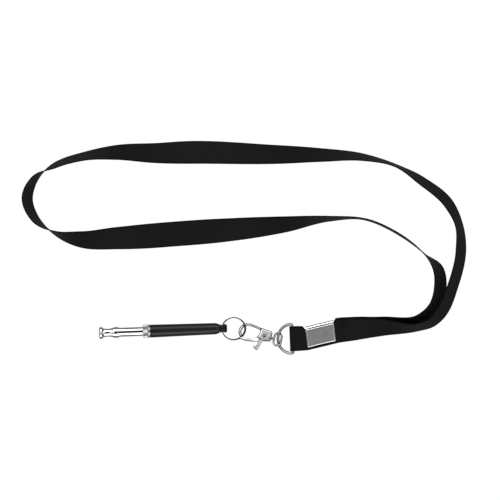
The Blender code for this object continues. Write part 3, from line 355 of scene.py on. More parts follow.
def black_satin(name, rib_scale, pick_scale, roughness, sheen):
    """Black satin ribbon: darker selvedges, and threads that shift a little in shade along the cloth."""
    made = bpy.data.materials.new(name)
    made.use_nodes = True
    nodes, links = made.node_tree.nodes, made.node_tree.links
    shader = nodes["Principled BSDF"]
    shader.inputs["Specular IOR Level"].default_value = 0.07
    shader.inputs["Sheen Weight"].default_value = sheen
    shader.inputs["Sheen Roughness"].default_value = 0.4
    cloth = nodes.new("ShaderNodeUVMap")
    cloth.uv_map = "cloth"
    scaled = nodes.new("ShaderNodeMapping")
    scaled.inputs["Scale"].default_value = (1000.0, 1000.0, 1000.0)
    links.new(cloth.outputs["UV"], scaled.inputs["Vector"])
    weave = nodes.new("ShaderNodeGroup")
    weave.node_tree = satin_weave
    weave.inputs["Rib Scale"].default_value = rib_scale
    weave.inputs["Pick Scale"].default_value = pick_scale
    links.new(scaled.outputs["Vector"], weave.inputs["Cloth"])
    bump = nodes.new("ShaderNodeBump")
    bump.inputs["Strength"].default_value = 0.35
    bump.inputs["Distance"].default_value = 0.00012
    links.new(weave.outputs["Height"], bump.inputs["Height"])
    links.new(bump.outputs["Normal"], shader.inputs["Normal"])
    across = nodes.new("ShaderNodeSeparateXYZ")
    links.new(scaled.outputs["Vector"], across.inputs["Vector"])
    side = nodes.new("ShaderNodeMath")
    side.operation = "ABSOLUTE"
    links.new(across.outputs["X"], side.inputs[0])
    border = nodes.new("ShaderNodeMapRange")
    border.inputs["From Min"].default_value = 6.6
    border.inputs["From Max"].default_value = 7.1
    links.new(side.outputs["Value"], border.inputs["Value"])
    threads = nodes.new("ShaderNodeMix")
    threads.data_type = "RGBA"
    threads.inputs["A"].default_value = (0.0024, 0.0024, 0.0027, 1.0)
    threads.inputs["B"].default_value = (0.0062, 0.0062, 0.0069, 1.0)
    links.new(weave.outputs["Fibre"], threads.inputs["Factor"])
    edged = nodes.new("ShaderNodeMix")
    edged.data_type = "RGBA"
    edged.inputs["B"].default_value = (0.0015, 0.0015, 0.0017, 1.0)
    links.new(border.outputs["Result"], edged.inputs["Factor"])
    links.new(threads.outputs["Result"], edged.inputs["A"])
    links.new(edged.outputs["Result"], shader.inputs["Base Color"])
    gloss = nodes.new("ShaderNodeMapRange")
    gloss.inputs["To Min"].default_value = roughness - 0.08
    gloss.inputs["To Max"].default_value = roughness + 0.12
    links.new(weave.outputs["Height"], gloss.inputs["Value"])
    links.new(gloss.outputs["Result"], shader.inputs["Roughness"])
    return made


ribbon_satin = black_satin("black_satin_ribbon", 0.55, 1.1, 0.52, 0.02)
neck_loop.data.materials.append(ribbon_satin)
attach(neck_loop, "strap")
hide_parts("neck_ribbon")

# ==================================================================== Strap's end loop
# A short length of the same ribbon. It comes out of the crimp, passes round the D-ring's bar and goes back
# into the crimp's other layer, so the D-ring can turn in it.

joint_at = {joint["name"]: joint for joint in frame["joints"]}
bar_centre = Vector(joint_at["strap_swing"]["pos_m"])
ring_wire = 1.8 * MM
bar_play = 0.25 * MM
fold_radius = ring_wire / 2 + bar_play + ribbon_thickness / 2
fold_start, fold_end, fold_steps = 62, 298, 40
mouth = -crimp_length / 2
risen = pinched_middle + (ribbon_width - pinched_width) / 2


def crimp_to_bar(layer, fold_angle, steps=9):
    """The ribbon's stretch from inside the crimp to the start of its turn round the bar."""
    found = []
    for reach, middle, width in (
        (layer_gap * 0.4, pinched_middle, pinched_width), (mouth / 2, pinched_middle, pinched_width),
        (mouth + 0.2 * MM, pinched_middle, pinched_width),
        (mouth - 0.3 * MM, risen - 0.4 * MM, ribbon_width - 0.8 * MM),
    ):
        found.append((crimp_place @ Vector((reach, middle, layer)), crimp_up * width))
    start = crimp_place @ Vector((mouth - 1.0 * MM, risen, layer))
    angle = math.radians(fold_angle)
    end = bar_centre + Vector((fold_radius * math.cos(angle), 0.0, fold_radius * math.sin(angle)))
    for k in range(steps):
        share = k / steps
        width = crimp_up.lerp(Vector((0.0, 1.0, 0.0)), eased(share)).normalized() * ribbon_width
        found.append((start.lerp(end, share), width))
    return found


fold = []
for k in range(fold_steps + 1):
    angle = math.radians(fold_start + (fold_end - fold_start) * k / fold_steps)
    spot = bar_centre + Vector((fold_radius * math.cos(angle), 0.0, fold_radius * math.sin(angle)))
    fold.append((spot, Vector((0.0, ribbon_width, 0.0))))
end_loop = crimp_to_bar(upper_layer, fold_start) + fold + crimp_to_bar(lower_layer, fold_end)[::-1]
end_loop = woven_strip("strap_end_loop", [spot for spot, _ in end_loop], [width for _, width in end_loop])
end_loop.data.materials.append(ribbon_satin)
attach(end_loop, "strap")
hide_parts("ribbon_end_loop")

# ==================================================================== Folded crimp
# A stamped steel plate folded over the ribbon's upper edge and pressed flat, plated in satin nickel. Its
# ends are cut on the skew, its edges are rounded over, and its face is pressed in slightly inside a bright
# border.


def tidied(item, place, angle=35):
    """Puts a finished mesh in its place, merges its doubles and turns its faces outwards."""
    item.data.transform(place)
    item.data.name = item.name
    bpy.ops.object.select_all(action="DESELECT")
    item.select_set(True)
    bpy.context.view_layer.objects.active = item
    bpy.ops.object.mode_set(mode="EDIT")
    bpy.ops.mesh.select_all(action="SELECT")
    bpy.ops.mesh.remove_doubles(threshold=1e-6)
    bpy.ops.mesh.normals_make_consistent(inside=False)
    bpy.ops.object.mode_set(mode="OBJECT")
    bpy.ops.object.shade_smooth_by_angle(angle=math.radians(angle))
    return item


def stamped(name, outline, thickness, rounding):
    """A flat blank cut to the outline, with its edges rounded over."""
    bpy.ops.object.select_all(action="DESELECT")
    bpy.ops.curve.primitive_bezier_circle_add()
    blank = bpy.context.object
    blank.name = name
    cut = blank.data
    cut.splines.clear()
    line = cut.splines.new("POLY")
    line.points.add(len(outline) - 1)
    for point, (x, y) in zip(line.points, outline):
        point.co = (x, y, 0.0, 1.0)
    line.use_cyclic_u = True
    cut.dimensions = "2D"
    cut.fill_mode = "BOTH"
    cut.extrude = thickness / 2 - rounding
    cut.bevel_depth = rounding
    cut.bevel_resolution = 2
    cut.offset = -rounding
    bpy.ops.object.convert(target="MESH")
    return tidied(bpy.context.object, Matrix.Identity(4))


def arc(centre, radius, start, end, count):
    found = []
    for i in range(count + 1):
        angle = math.radians(start + (end - start) * i / count)
        found.append((centre[0] + radius * math.cos(angle), centre[1] + radius * math.sin(angle)))
    return found


def wear_group():
    """Handling wear on metal: broad smudges and fine scratches, from coordinates in metres."""
    group = bpy.data.node_groups.new("handling_wear", "ShaderNodeTree")
    group.interface.new_socket("Place", in_out="INPUT", socket_type="NodeSocketVector")
    group.interface.new_socket("Roughness", in_out="INPUT", socket_type="NodeSocketFloat")
    group.interface.new_socket("Smudge", in_out="INPUT", socket_type="NodeSocketFloat")
    group.interface.new_socket("Roughness", in_out="OUTPUT", socket_type="NodeSocketFloat")
    group.interface.new_socket("Height", in_out="OUTPUT", socket_type="NodeSocketFloat")
    group.interface.new_socket("Patch", in_out="OUTPUT", socket_type="NodeSocketFloat")
    inside, wires = group.nodes, group.links
    given = inside.new("NodeGroupInput")
    result = inside.new("NodeGroupOutput")
    smudge = inside.new("ShaderNodeTexNoise")
    smudge.inputs["Scale"].default_value = 260.0
    smudge.inputs["Detail"].default_value = 5.0
    scratch = inside.new("ShaderNodeTexNoise")
    scratch.inputs["Scale"].default_value = 1500.0
    scratch.inputs["Detail"].default_value = 3.0
    drawn = inside.new("ShaderNodeMapping")
    drawn.inputs["Scale"].default_value = (0.12, 1.0, 1.0)
    wires.new(given.outputs["Place"], smudge.inputs["Vector"])
    wires.new(given.outputs["Place"], drawn.inputs["Vector"])
    wires.new(drawn.outputs["Vector"], scratch.inputs["Vector"])
    varied = inside.new("ShaderNodeMath")
    varied.operation = "MULTIPLY_ADD"
    wires.new(smudge.outputs["Fac"], varied.inputs[0])
    wires.new(given.outputs["Smudge"], varied.inputs[1])
    wires.new(given.outputs["Roughness"], varied.inputs[2])
    wires.new(varied.outputs["Value"], result.inputs["Roughness"])
    wires.new(scratch.outputs["Fac"], result.inputs["Height"])
    wires.new(smudge.outputs["Fac"], result.inputs["Patch"])
    return group


handling_wear = wear_group()


def worn_metal(name, colour, dull, roughness, smudge, scratch, metallic=1.0, painted_rim_shade=None):
    """Metal whose colour, gloss and surface vary with handling, with painted shade darkening its colour at
    the rim if given.
    """
    made = bpy.data.materials.new(name)
    made.use_nodes = True
    nodes, links = made.node_tree.nodes, made.node_tree.links
    shader = nodes["Principled BSDF"]
    shader.inputs["Metallic"].default_value = metallic
    place = nodes.new("ShaderNodeTexCoord")
    wear = nodes.new("ShaderNodeGroup")
    wear.node_tree = handling_wear
    wear.inputs["Roughness"].default_value = roughness
    wear.inputs["Smudge"].default_value = smudge
    links.new(place.outputs["Object"], wear.inputs["Place"])
    links.new(wear.outputs["Roughness"], shader.inputs["Roughness"])
    shade = nodes.new("ShaderNodeMix")
    shade.name = "shade"
    shade.data_type = "RGBA"
    shade.inputs["A"].default_value = (*colour, 1.0)
    shade.inputs["B"].default_value = (*dull, 1.0)
    links.new(wear.outputs["Patch"], shade.inputs["Factor"])
    finish = shade
    # Painted shade: a Layer Weight ramp darkens the base colour towards the rim, where the surface turns from
    # view, standing in for dark reflections.
    if painted_rim_shade is not None:
        facing = nodes.new("ShaderNodeLayerWeight")
        facing.inputs["Blend"].default_value = 0.5
        painted_rim_ramp = nodes.new("ShaderNodeMapRange")
        painted_rim_ramp.inputs["From Min"].default_value = 0.035
        painted_rim_ramp.inputs["From Max"].default_value = 0.14
        finish = nodes.new("ShaderNodeMix")
        finish.data_type = "RGBA"
        finish.inputs["B"].default_value = (painted_rim_shade, painted_rim_shade, painted_rim_shade, 1.0)
        links.new(facing.outputs["Facing"], painted_rim_ramp.inputs["Value"])
        links.new(painted_rim_ramp.outputs["Result"], finish.inputs["Factor"])
        links.new(shade.outputs["Result"], finish.inputs["A"])
    links.new(finish.outputs["Result"], shader.inputs["Base Color"])
    bump = nodes.new("ShaderNodeBump")
    bump.name = "surface"
    bump.inputs["Strength"].default_value = scratch
    bump.inputs["Distance"].default_value = 0.00002
    links.new(wear.outputs["Height"], bump.inputs["Height"])
    links.new(bump.outputs["Normal"], shader.inputs["Normal"])
    return made


plate_height = crimp_inside + 2 * crimp_plate
plate_bend = plate_height / 2
half_width = crimp_width / 2
fold_line = half_width - plate_bend
section = [(-half_width, 0.0), (fold_line, 0.0)] + arc((fold_line, plate_bend), plate_bend, -78, 78, 14)
section += [(fold_line, plate_height), (-half_width, plate_height)]
section += [(-half_width, plate_height - crimp_plate), (fold_line, plate_height - crimp_plate)]
section += arc((fold_line, plate_bend), crimp_inside / 2, 78, -78, 14)
section += [(fold_line, crimp_plate), (-half_width, crimp_plate)]
crimp = stamped("folded_crimp", section, crimp_length, 0.12 * MM)
stood_up = Matrix(((0, 0, 1, 0), (1, 0, 0, 0), (0, 1, 0, 0), (0, 0, 0, 1)))
end_skew = math.radians(6.6)
skew = Matrix.Identity(4)
skew[0][1] = math.tan(end_skew)
crimp.data.transform(skew @ stood_up)
bpy.ops.object.mode_set(mode="EDIT")
bpy.ops.mesh.select_all(action="DESELECT")
bpy.ops.object.mode_set(mode="OBJECT")
for face in crimp.data.polygons:
    on_top = face.normal.z > 0.999 and face.center.z > plate_height - 0.1 * MM
    face.select = on_top and face.area > 50 * MM * MM
bpy.ops.object.mode_set(mode="EDIT")
bpy.ops.mesh.select_mode(type="FACE")
bpy.ops.mesh.inset(thickness=0.45 * MM, depth=0.12 * MM)
bpy.ops.mesh.inset(thickness=0.15 * MM, depth=-0.09 * MM)
bpy.ops.object.mode_set(mode="OBJECT")
for face in crimp.data.polygons:
    face.material_index = 1 if face.select else 0
bpy.ops.object.mode_set(mode="EDIT")
bpy.ops.mesh.select_mode(type="VERT")
bpy.ops.object.mode_set(mode="OBJECT")
tidied(crimp, crimp_place, angle=30)

satin_plate = worn_metal("satin_nickel_plate", (0.43, 0.43, 0.42), (0.29, 0.29, 0.285), 0.34, 0.20, 0.10)
nodes, links = satin_plate.node_tree.nodes, satin_plate.node_tree.links
grain_place = nodes.new("ShaderNodeMapping")
grain_place.inputs["Rotation"].default_value = (0.0, 0.0, -crimp_angle)
grain_place.inputs["Scale"].default_value = (9000.0, 250.0, 250.0)
grain = nodes.new("ShaderNodeTexNoise")
grain.inputs["Scale"].default_value = 1.0
grain.inputs["Detail"].default_value = 2.0
where = nodes.new("ShaderNodeTexCoord")
links.new(where.outputs["Object"], grain_place.inputs["Vector"])
links.new(grain_place.outputs["Vector"], grain.inputs["Vector"])
links.new(grain.outputs["Fac"], nodes["surface"].inputs["Height"])
nodes["surface"].inputs["Strength"].default_value = 0.35
rubbed_edge = worn_metal("rubbed_nickel_edge", (0.82, 0.82, 0.81), (0.60, 0.60, 0.59), 0.10, 0.15, 0.1)
crimp.data.materials.append(rubbed_edge)
crimp.data.materials.append(satin_plate)
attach(crimp, "strap")
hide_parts("strap_crimp")

# ==================================================================== D-ring
# Round steel wire bent to a D, welded in the middle of its bar, which the ribbon covers, and chromed
# bright. The bar lies in the strap's end loop and the bow passes through the swivel's eye.


def bent_wire(name, points, radius, cyclic=False, fineness=6, radii=None):
    """A round wire bent along the points, its ends closed."""
    bpy.ops.object.select_all(action="DESELECT")
    bpy.ops.curve.primitive_bezier_circle_add()
    wire = bpy.context.object
    wire.name = name
    bend = wire.data
    bend.splines.clear()
    line = bend.splines.new("POLY")
    line.points.add(len(points) - 1)
    for i, (point, spot) in enumerate(zip(line.points, points)):
        point.co = (*spot, 1.0)
        point.radius = radii[i] if radii else 1.0
    line.use_cyclic_u = cyclic
    bend.dimensions = "3D"
    bend.fill_mode = "FULL"
    bend.bevel_depth = radius
    bend.bevel_resolution = fineness
    bend.use_fill_caps = True
    bpy.ops.object.convert(target="MESH")
    return bpy.context.object


def smooth_ring(points, steps):
    """A smooth closed line through the points."""
    found = []
    count = len(points)
    for i in range(count):
        a, b, c, d = (Vector(points[(i + k) % count]) for k in (-1, 0, 1, 2))
        for k in range(steps):
            t = k / steps
            found.append(
                (b * 2 + (c - a) * t + (a * 2 - b * 5 + c * 4 - d) * t**2
                 + (b * 3 - a - c * 3 + d) * t**3) / 2
            )
    return found


def turned_about(degrees, axis):
    return Matrix.Rotation(math.radians(degrees), 4, axis)


# Its rim value paints dark shade into the colour at the edges of every chromed part: the D-ring, eye, hook
# and gate.
bright_chrome = worn_metal(
    "bright_chrome", (0.80, 0.80, 0.81), (0.62, 0.62, 0.63), 0.045, 0.07, 0.05, painted_rim_shade=0.008
)

bow_corner = 1.0 * MM
half_bar = (19.8 * MM - ring_wire) / 2
bow_depth = 9.25 * MM
bar_places = (-half_bar + bow_corner, -half_bar / 2, 0.0, half_bar / 2, half_bar - bow_corner)
bend_line = [(0.0, y, 0.0) for y in bar_places]
bend_line += [(x, y, 0.0) for x, y in arc((-bow_corner, half_bar - bow_corner), bow_corner, 22, 90, 3)]
for i in range(1, 18):
    angle = math.radians(90 + 10 * i)
    bow_x = -bow_corner + (bow_depth - bow_corner) * math.cos(angle)
    bend_line.append((bow_x, half_bar * math.sin(angle), 0.0))
bend_line += [(x, y, 0.0) for x, y in arc((-bow_corner, -half_bar + bow_corner), bow_corner, 270, 338, 3)]
d_ring = bent_wire("d_ring_wire", smooth_ring(bend_line, 6), ring_wire / 2, cyclic=True)
tidied(d_ring, Matrix.Translation(bar_centre) @ turned_about(8.8, "Y"), angle=60)
d_ring.data.materials.append(bright_chrome)
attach(d_ring, "strap_ring")
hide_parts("d_ring")

# ==================================================================== Swivel eye
# A small cast eye with a stem. The stem passes through the clasp's end wall and its head is spread inside,
# so the eye turns freely. Cast zinc, tumbled smooth and chromed.


def lathe(name, stations, sides=96):
    """A piece turned along its own X: a ring of edges is drawn out and sized from station to station."""
    x, radius = stations[0]
    bpy.ops.object.select_all(action="DESELECT")
    bpy.ops.mesh.primitive_circle_add(
        vertices=sides, radius=max(radius, 1e-6), location=(x, 0.0, 0.0), rotation=(0.0, math.pi / 2, 0.0)
    )
    turned = bpy.context.object
    turned.name = name
    bpy.ops.object.transform_apply(location=True, rotation=True, scale=True)
    bpy.ops.object.mode_set(mode="EDIT")
    bpy.ops.mesh.select_all(action="SELECT")
    for to_x, to_radius in stations[1:]:
        bpy.ops.mesh.extrude_region_move(TRANSFORM_OT_translate={"value": (to_x - x, 0.0, 0.0)})
        grow = max(to_radius, 1e-6) / max(radius, 1e-6)
        bpy.ops.transform.resize(value=(1.0, grow, grow), center_override=(to_x, 0.0, 0.0))
        x, radius = to_x, to_radius
    bpy.ops.mesh.select_all(action="SELECT")
    bpy.ops.mesh.remove_doubles(threshold=3e-6)
    bpy.ops.object.mode_set(mode="OBJECT")
    return turned


def finish_with(item, kind, **settings):
    """Adds one modifier and applies it."""
    bpy.ops.object.select_all(action="DESELECT")
    item.select_set(True)
    bpy.context.view_layer.objects.active = item
    step = item.modifiers.new(kind.lower(), kind)
    for key, value in settings.items():
        setattr(step, key, value)
    bpy.ops.object.modifier_apply(modifier=step.name)
    return item


def joined(item, *others):
    for other in others:
        finish_with(item, "BOOLEAN", operation="UNION", solver="EXACT", object=other)
        bpy.data.objects.remove(other, do_unlink=True)
    return item


def cut_away(item, cutter):
    finish_with(item, "BOOLEAN", operation="DIFFERENCE", solver="EXACT", object=cutter)
    bpy.data.objects.remove(cutter, do_unlink=True)
    return item


def cast(item, grain_size, passes):
    """Softens every edge and inside corner, as a casting's are."""
    finish_with(item, "REMESH", mode="VOXEL", voxel_size=grain_size)
    return finish_with(item, "SMOOTH", factor=0.5, iterations=passes)


def block(name, low, high):
    """A straight cutter between two corners."""
    low, high = Vector(low), Vector(high)
    bpy.ops.object.select_all(action="DESELECT")
    bpy.ops.mesh.primitive_cube_add(size=1.0, location=(low + high) / 2, scale=high - low)
    bpy.ops.object.transform_apply(location=True, rotation=True, scale=True)
    bpy.context.object.name = name
    return bpy.context.object


def drill(name, radius, length, place):
    bpy.ops.object.select_all(action="DESELECT")
    bpy.ops.mesh.primitive_cylinder_add(vertices=40, radius=radius, depth=length)
    bpy.context.object.data.transform(place)
    bpy.context.object.name = name
    return bpy.context.object


eye_centre = Vector(joint_at["swivel_turn"]["pos_m"])
eye_place = Matrix.Translation(eye_centre) @ turned_about(-12.0, "Z") @ turned_about(-2.0, "Y")
eye_place = eye_place @ turned_about(-28.0, "X")
eye_length = 5.8 * MM
eye_width = 10.0 * MM
eye_wire = 1.3 * MM
eye_neck = 1.0 * MM
end_wall = 1.0 * MM
bend = (eye_length - eye_wire) / 2
straight = (eye_width - eye_wire) / 2 - bend
eye_line = [(x, y, 0.0) for x, y in arc((0.0, straight), bend, 0, 180, 24)]
eye_line += [(x, y, 0.0) for x, y in arc((0.0, -straight), bend, 180, 360, 24)]
eye = bent_wire("swivel_eye_casting", eye_line, eye_wire / 2, cyclic=True)
root = -eye_length / 2 - eye_neck
head = root - end_wall - 0.2 * MM
stem = lathe(
    "stem",
    [(-eye_length / 2 + eye_wire / 2, 0.0), (-eye_length / 2 + eye_wire / 2, 0.6 * MM),
     (-eye_length / 2 - 0.1 * MM, 0.6 * MM), (-eye_length / 2 - 0.2 * MM, 0.9 * MM),
     (root + 0.35 * MM, 0.9 * MM), (root + 0.2 * MM, 0.6 * MM), (head, 0.6 * MM), (head, 0.95 * MM),
     (head - 0.5 * MM, 0.9 * MM), (head - 0.8 * MM, 0.72 * MM), (head - 0.8 * MM, 0.0)],
    sides=32,
)
tidied(eye, Matrix.Identity(4))
tidied(stem, Matrix.Identity(4))
joined(eye, stem)
cast(eye, 0.09 * MM, 5)
tidied(eye, eye_place, angle=60)
eye.data.materials.append(bright_chrome)
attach(eye, "swivel")
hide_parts("swivel_eye")

# ==================================================================== Trigger clasp
# A cast hook with a thick nose, a slim spine and a slotted body. A sprung gate lever turns on a rivet in
# the slot and closes against the hook's tip. Cast zinc, chromed. The rivet and the spring are steel.

clasp_turn = turned_about(-14.0, "Z") @ turned_about(-21.0, "X")
stem_spot = Vector((0.0, -1.1 * MM, 0.0))
clasp_origin = eye_place @ Vector((root, 0.0, 0.0)) - clasp_turn.to_3x3() @ stem_spot
clasp_place = Matrix.Translation(clasp_origin) @ clasp_turn
nose = -21.1 * MM + 0.95 * MM
wide = 4.7 * MM
body_front = -7.5 * MM
hook_knots = (
    (nose + 1.15 * MM, -wide * 0.80), (nose + 0.25 * MM, -wide * 0.42), (nose, 0.3 * MM),
    (nose + 0.9 * MM, wide * 0.52), (nose + 2.5 * MM, wide * 0.85), (nose + 4.9 * MM, wide),
    (nose + 8.2 * MM, wide * 0.92), (body_front - 1.0 * MM, wide * 0.77),
    (body_front + 3.0 * MM, wide * 0.60),
)
hook_steps = 72
hook_line = [spot.to_3d() for spot in smooth_path([(x, y, 0.0, 0.0) for x, y in hook_knots], hook_steps)]
fullness = [
    0.90 + 0.07 * math.sin(math.pi * min(1.0, i / 34)) - 0.12 * eased((i - 26) / 30)
    for i in range(hook_steps)
]
hook = bent_wire("clasp_hook_casting", hook_line, 0.95 * MM, radii=fullness)
tidied(hook, Matrix.Identity(4))
body_outline = (
    (body_front - 1.6 * MM, -2.9 * MM), (body_front + 1.2 * MM, -4.1 * MM), (-2.0 * MM, -3.5 * MM),
    (-0.5 * MM, -3.1 * MM), (-0.05 * MM, -2.4 * MM), (-0.05 * MM, 2.2 * MM), (-0.5 * MM, 3.0 * MM),
    (-2.5 * MM, 3.3 * MM), (body_front + 0.6 * MM, 3.9 * MM), (body_front - 0.6 * MM, 3.6 * MM),
    (body_front - 0.1 * MM, 2.2 * MM), (body_front - 0.35 * MM, 0.4 * MM),
    (body_front - 0.9 * MM, -1.4 * MM),
)
clasp_body = stamped("clasp_body", body_outline, 3.0 * MM, 0.8 * MM)
boss = lathe(
    "boss",
    [(-2.0 * MM, 0.0), (-2.0 * MM, 1.6 * MM), (-1.7 * MM, 1.85 * MM), (-0.5 * MM, 1.85 * MM),
     (-0.1 * MM, 1.6 * MM), (-0.1 * MM, 0.0)],
    sides=40,
)
tidied(boss, Matrix.Translation(stem_spot))
joined(hook, clasp_body, boss)
cast(hook, 0.11 * MM, 6)
slot_half = 0.75 * MM
cut_away(hook, block("slot", (-12.66 * MM, -8.0 * MM, -slot_half), (-2.7 * MM, 1.9 * MM, slot_half)))
stem_line = Matrix.Translation(stem_spot) @ turned_about(90, "Y")
cut_away(hook, drill("pocket", 1.15 * MM, 1.4 * MM, Matrix.Translation((-1.7 * MM, 0.0, 0.0)) @ stem_line))
cut_away(hook, drill("stem_hole", 0.8 * MM, 4.0 * MM, stem_line))
pin_spot = Vector((-4.6 * MM, -0.95 * MM, 0.0))
pin_radius = 0.8 * MM
cut_away(hook, drill("pin_hole", pin_radius, 12.0 * MM, Matrix.Translation(pin_spot)))
tidied(hook, clasp_place, angle=40)
hook.data.materials.append(bright_chrome)
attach(hook, "clasp")
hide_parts("clasp_hook")

tip = nose + 1.5 * MM
gate_points = (
    (tip - 0.9 * MM, -wide - 0.55 * MM), (tip + 0.1 * MM, -wide - 1.05 * MM),
    (tip + 3.2 * MM, -wide - 1.45 * MM), (tip + 7.0 * MM, -wide - 1.1 * MM),
    (-9.5 * MM, -wide - 0.75 * MM), (-9.9 * MM, -wide - 2.6 * MM),
    (-10.0 * MM, -wide - 4.4 * MM), (-9.2 * MM, -wide - 5.3 * MM), (-7.9 * MM, -wide - 5.8 * MM),
    (-7.1 * MM, -wide - 5.6 * MM), (-6.3 * MM, -wide - 3.2 * MM), (-5.2 * MM, -wide - 0.1 * MM),
    (-3.6 * MM, -3.0 * MM), (-3.25 * MM, -2.0 * MM), (-3.1 * MM, -0.6 * MM), (-3.6 * MM, 0.1 * MM),
    (-5.4 * MM, 0.35 * MM), (-6.9 * MM, 0.5 * MM), (-7.9 * MM, -0.7 * MM), (-9.6 * MM, -2.6 * MM),
    (-11.4 * MM, -3.75 * MM), (tip + 4.4 * MM, -wide + 0.3 * MM), (tip + 2.0 * MM, -wide + 0.25 * MM),
    (tip + 0.35 * MM, -wide + 0.45 * MM), (tip - 0.2 * MM, -wide + 0.15 * MM),
)
gate_outline = [(spot.x, spot.y) for spot in smooth_ring([(x, y, 0.0) for x, y in gate_points], 4)]
gate = stamped("gate_lever_casting", gate_outline, 1.2 * MM, 0.28 * MM)
cut_away(gate, drill("gate_bore", pin_radius, 5.0 * MM, Matrix.Translation(pin_spot)))
tidied(gate, clasp_place, angle=40)
gate.data.materials.append(bright_chrome)
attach(gate, "gate")
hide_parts("gate_lever")

rivet_side = [(1.95 * MM, 0.0), (1.94 * MM, 0.35 * MM), (1.88 * MM, 0.72 * MM), (1.76 * MM, 1.03 * MM),
              (1.66 * MM, 1.13 * MM), (1.6 * MM, 1.15 * MM), (1.6 * MM, 0.7 * MM)]
rivet = lathe("gate_rivet", rivet_side + [(-x, radius) for x, radius in reversed(rivet_side)], sides=40)
tidied(rivet, clasp_place @ Matrix.Translation(pin_spot) @ turned_about(-90, "Y"), angle=40)
dark_steel = worn_metal("dark_rivet_steel", (0.16, 0.16, 0.165), (0.08, 0.08, 0.085), 0.25, 0.2, 0.2)
rivet.data.materials.append(dark_steel)
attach(rivet, "clasp")
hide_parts("gate_pivot_pin")

coil_turns, coil_steps = 4, 96
coil_x, coil_foot, coil_height, coil_reach = -3.55 * MM, 0.38 * MM, 1.34 * MM, 0.43 * MM
coil = []
for i in range(coil_steps + 1):
    angle = 2 * math.pi * coil_turns * i / coil_steps
    along = coil_foot + coil_height * i / coil_steps
    coil.append((coil_x + coil_reach * math.cos(angle), along, coil_reach * math.sin(angle)))
spring = bent_wire("gate_coil_spring", coil, 0.12 * MM, fineness=2)
tidied(spring, clasp_place, angle=60)
spring.data.materials.append(dark_steel)
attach(spring, "clasp")
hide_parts("gate_spring")

# ==================================================================== Split ring
# Two close turns of hard steel wire with one step across, nickel plated. It passes through the whistle's
# tail and the clasp's nose.

key_ring_wire = 0.7 * MM
key_ring_radius = (14.9 * MM - key_ring_wire) / 2
turn_pitch = 0.78 * MM
splay = 0.3 * MM
tail_hole = Vector(joint_at["ring_in_tail"]["pos_m"])
ring_start = tail_hole - Vector((0.22 * MM, 0.4 * MM, 0.0))
ring_place = Matrix.Translation(ring_start) @ turned_about(3.313, "Y") @ turned_about(13.0, "X")
ring_line = []
for i in range(241):
    angle = 123 + 674 * i / 240
    rise = (eased((angle - 437) / 46) - 0.5) * turn_pitch
    spot = math.radians(angle)
    splayed = (rise / turn_pitch + 0.5) * splay * (1 + math.cos(spot))
    ring_x = splayed + key_ring_radius * (1 + math.cos(spot))
    ring_line.append((ring_x, key_ring_radius * math.sin(spot), rise))
split_ring = bent_wire("split_ring_coil", ring_line, key_ring_wire / 2, fineness=4)
tidied(split_ring, ring_place, angle=60)
# Its rim value paints dark shade into the colour at the wire's edges.
ring_nickel = worn_metal(
    "plated_spring_wire", (0.20, 0.20, 0.20), (0.11, 0.11, 0.11), 0.07, 0.10, 0.1, painted_rim_shade=0.01
)
split_ring.data.materials.append(ring_nickel)
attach(split_ring, "key_ring")
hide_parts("split_ring")

# ==================================================================== Sleeve and tail
# The grip is a turned aluminium sleeve, tapered a little to the rear and anodised satin black. The tail
# plug is pressed into it, left blasted, and cross drilled for the split ring.

lip_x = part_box("mouthpiece")[0].x
sleeve_low, sleeve_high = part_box("barrel_sleeve")
axis_y, axis_z = (sleeve_low.y + sleeve_high.y) / 2, (sleeve_low.z + sleeve_high.z) / 2
axis_place = Matrix.Translation((lip_x, axis_y, axis_z))

# Each station is its distance behind the lip and its radius, in millimetres. The outside comes first.
sleeve_stations = [
    (31.75, 3.55), (31.75, 3.78), (31.79, 3.88), (31.87, 3.97), (31.98, 4.03), (32.15, 4.05), (40.0, 3.955),
    (50.0, 3.823), (60.0, 3.702), (72.2, 3.555), (72.5, 3.535), (72.75, 3.48), (73.6, 3.26), (74.6, 2.97),
    (75.0, 2.84), (75.12, 2.76), (75.15, 2.66), (75.15, 2.2), (65.95, 2.2), (65.95, 3.1), (40.15, 3.1),
    (40.15, 3.45), (31.85, 3.45), (31.75, 3.55),
]
sleeve = lathe("black_grip_sleeve", [(x * MM, radius * MM) for x, radius in sleeve_stations], sides=128)
tidied(sleeve, axis_place, angle=30)
anodised = worn_metal(
    "black_anodised_satin", (0.0100, 0.0100, 0.0110), (0.0065, 0.0065, 0.0072), 0.27, 0.10, 0.15,
    metallic=0.0,
)
anodised.node_tree.nodes["Principled BSDF"].inputs["Specular IOR Level"].default_value = 0.22
sleeve.data.materials.append(anodised)
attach(sleeve, "barrel")
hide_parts("barrel_sleeve")

tail_stations = [
    (79.85, 0.0), (79.85, 1.3), (79.82, 1.75), (79.7, 2.1), (79.45, 2.42), (79.1, 2.63), (78.65, 2.75),
    (75.6, 2.75), (75.42, 2.7), (75.35, 2.6), (75.35, 2.1), (66.15, 2.1), (66.15, 0.9), (70.85, 0.9),
    (70.85, 0.0),
]
tail = lathe("blasted_tail_plug", [(x * MM, radius * MM) for x, radius in tail_stations], sides=80)
tidied(tail, Matrix.Identity(4))
hole_place = Matrix.Translation((76.9 * MM, 0.0, 0.0)) @ turned_about(90, "X")
cut_away(tail, drill("cross_hole", 1.65 * MM, 11.0 * MM, hole_place))
tidied(tail, axis_place, angle=30)
blasted = worn_metal(
    "blasted_black", (0.0040, 0.0040, 0.0044), (0.0120, 0.0120, 0.0130), 0.38, 0.2, 0.5, metallic=0.0
)
blasted.node_tree.nodes["Principled BSDF"].inputs["Specular IOR Level"].default_value = 0.10
blasted.node_tree.nodes["surface"].inputs["Distance"].default_value = 0.00006
tail.data.materials.append(blasted)
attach(tail, "barrel")
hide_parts("tail_plug")

# ==================================================================== Lock ring
# A brass nut on the tube's thread, nickel plated, that locks the setting against the sleeve. Its front band
# is finely knurled and its rear rim is polished, with a groove between them.

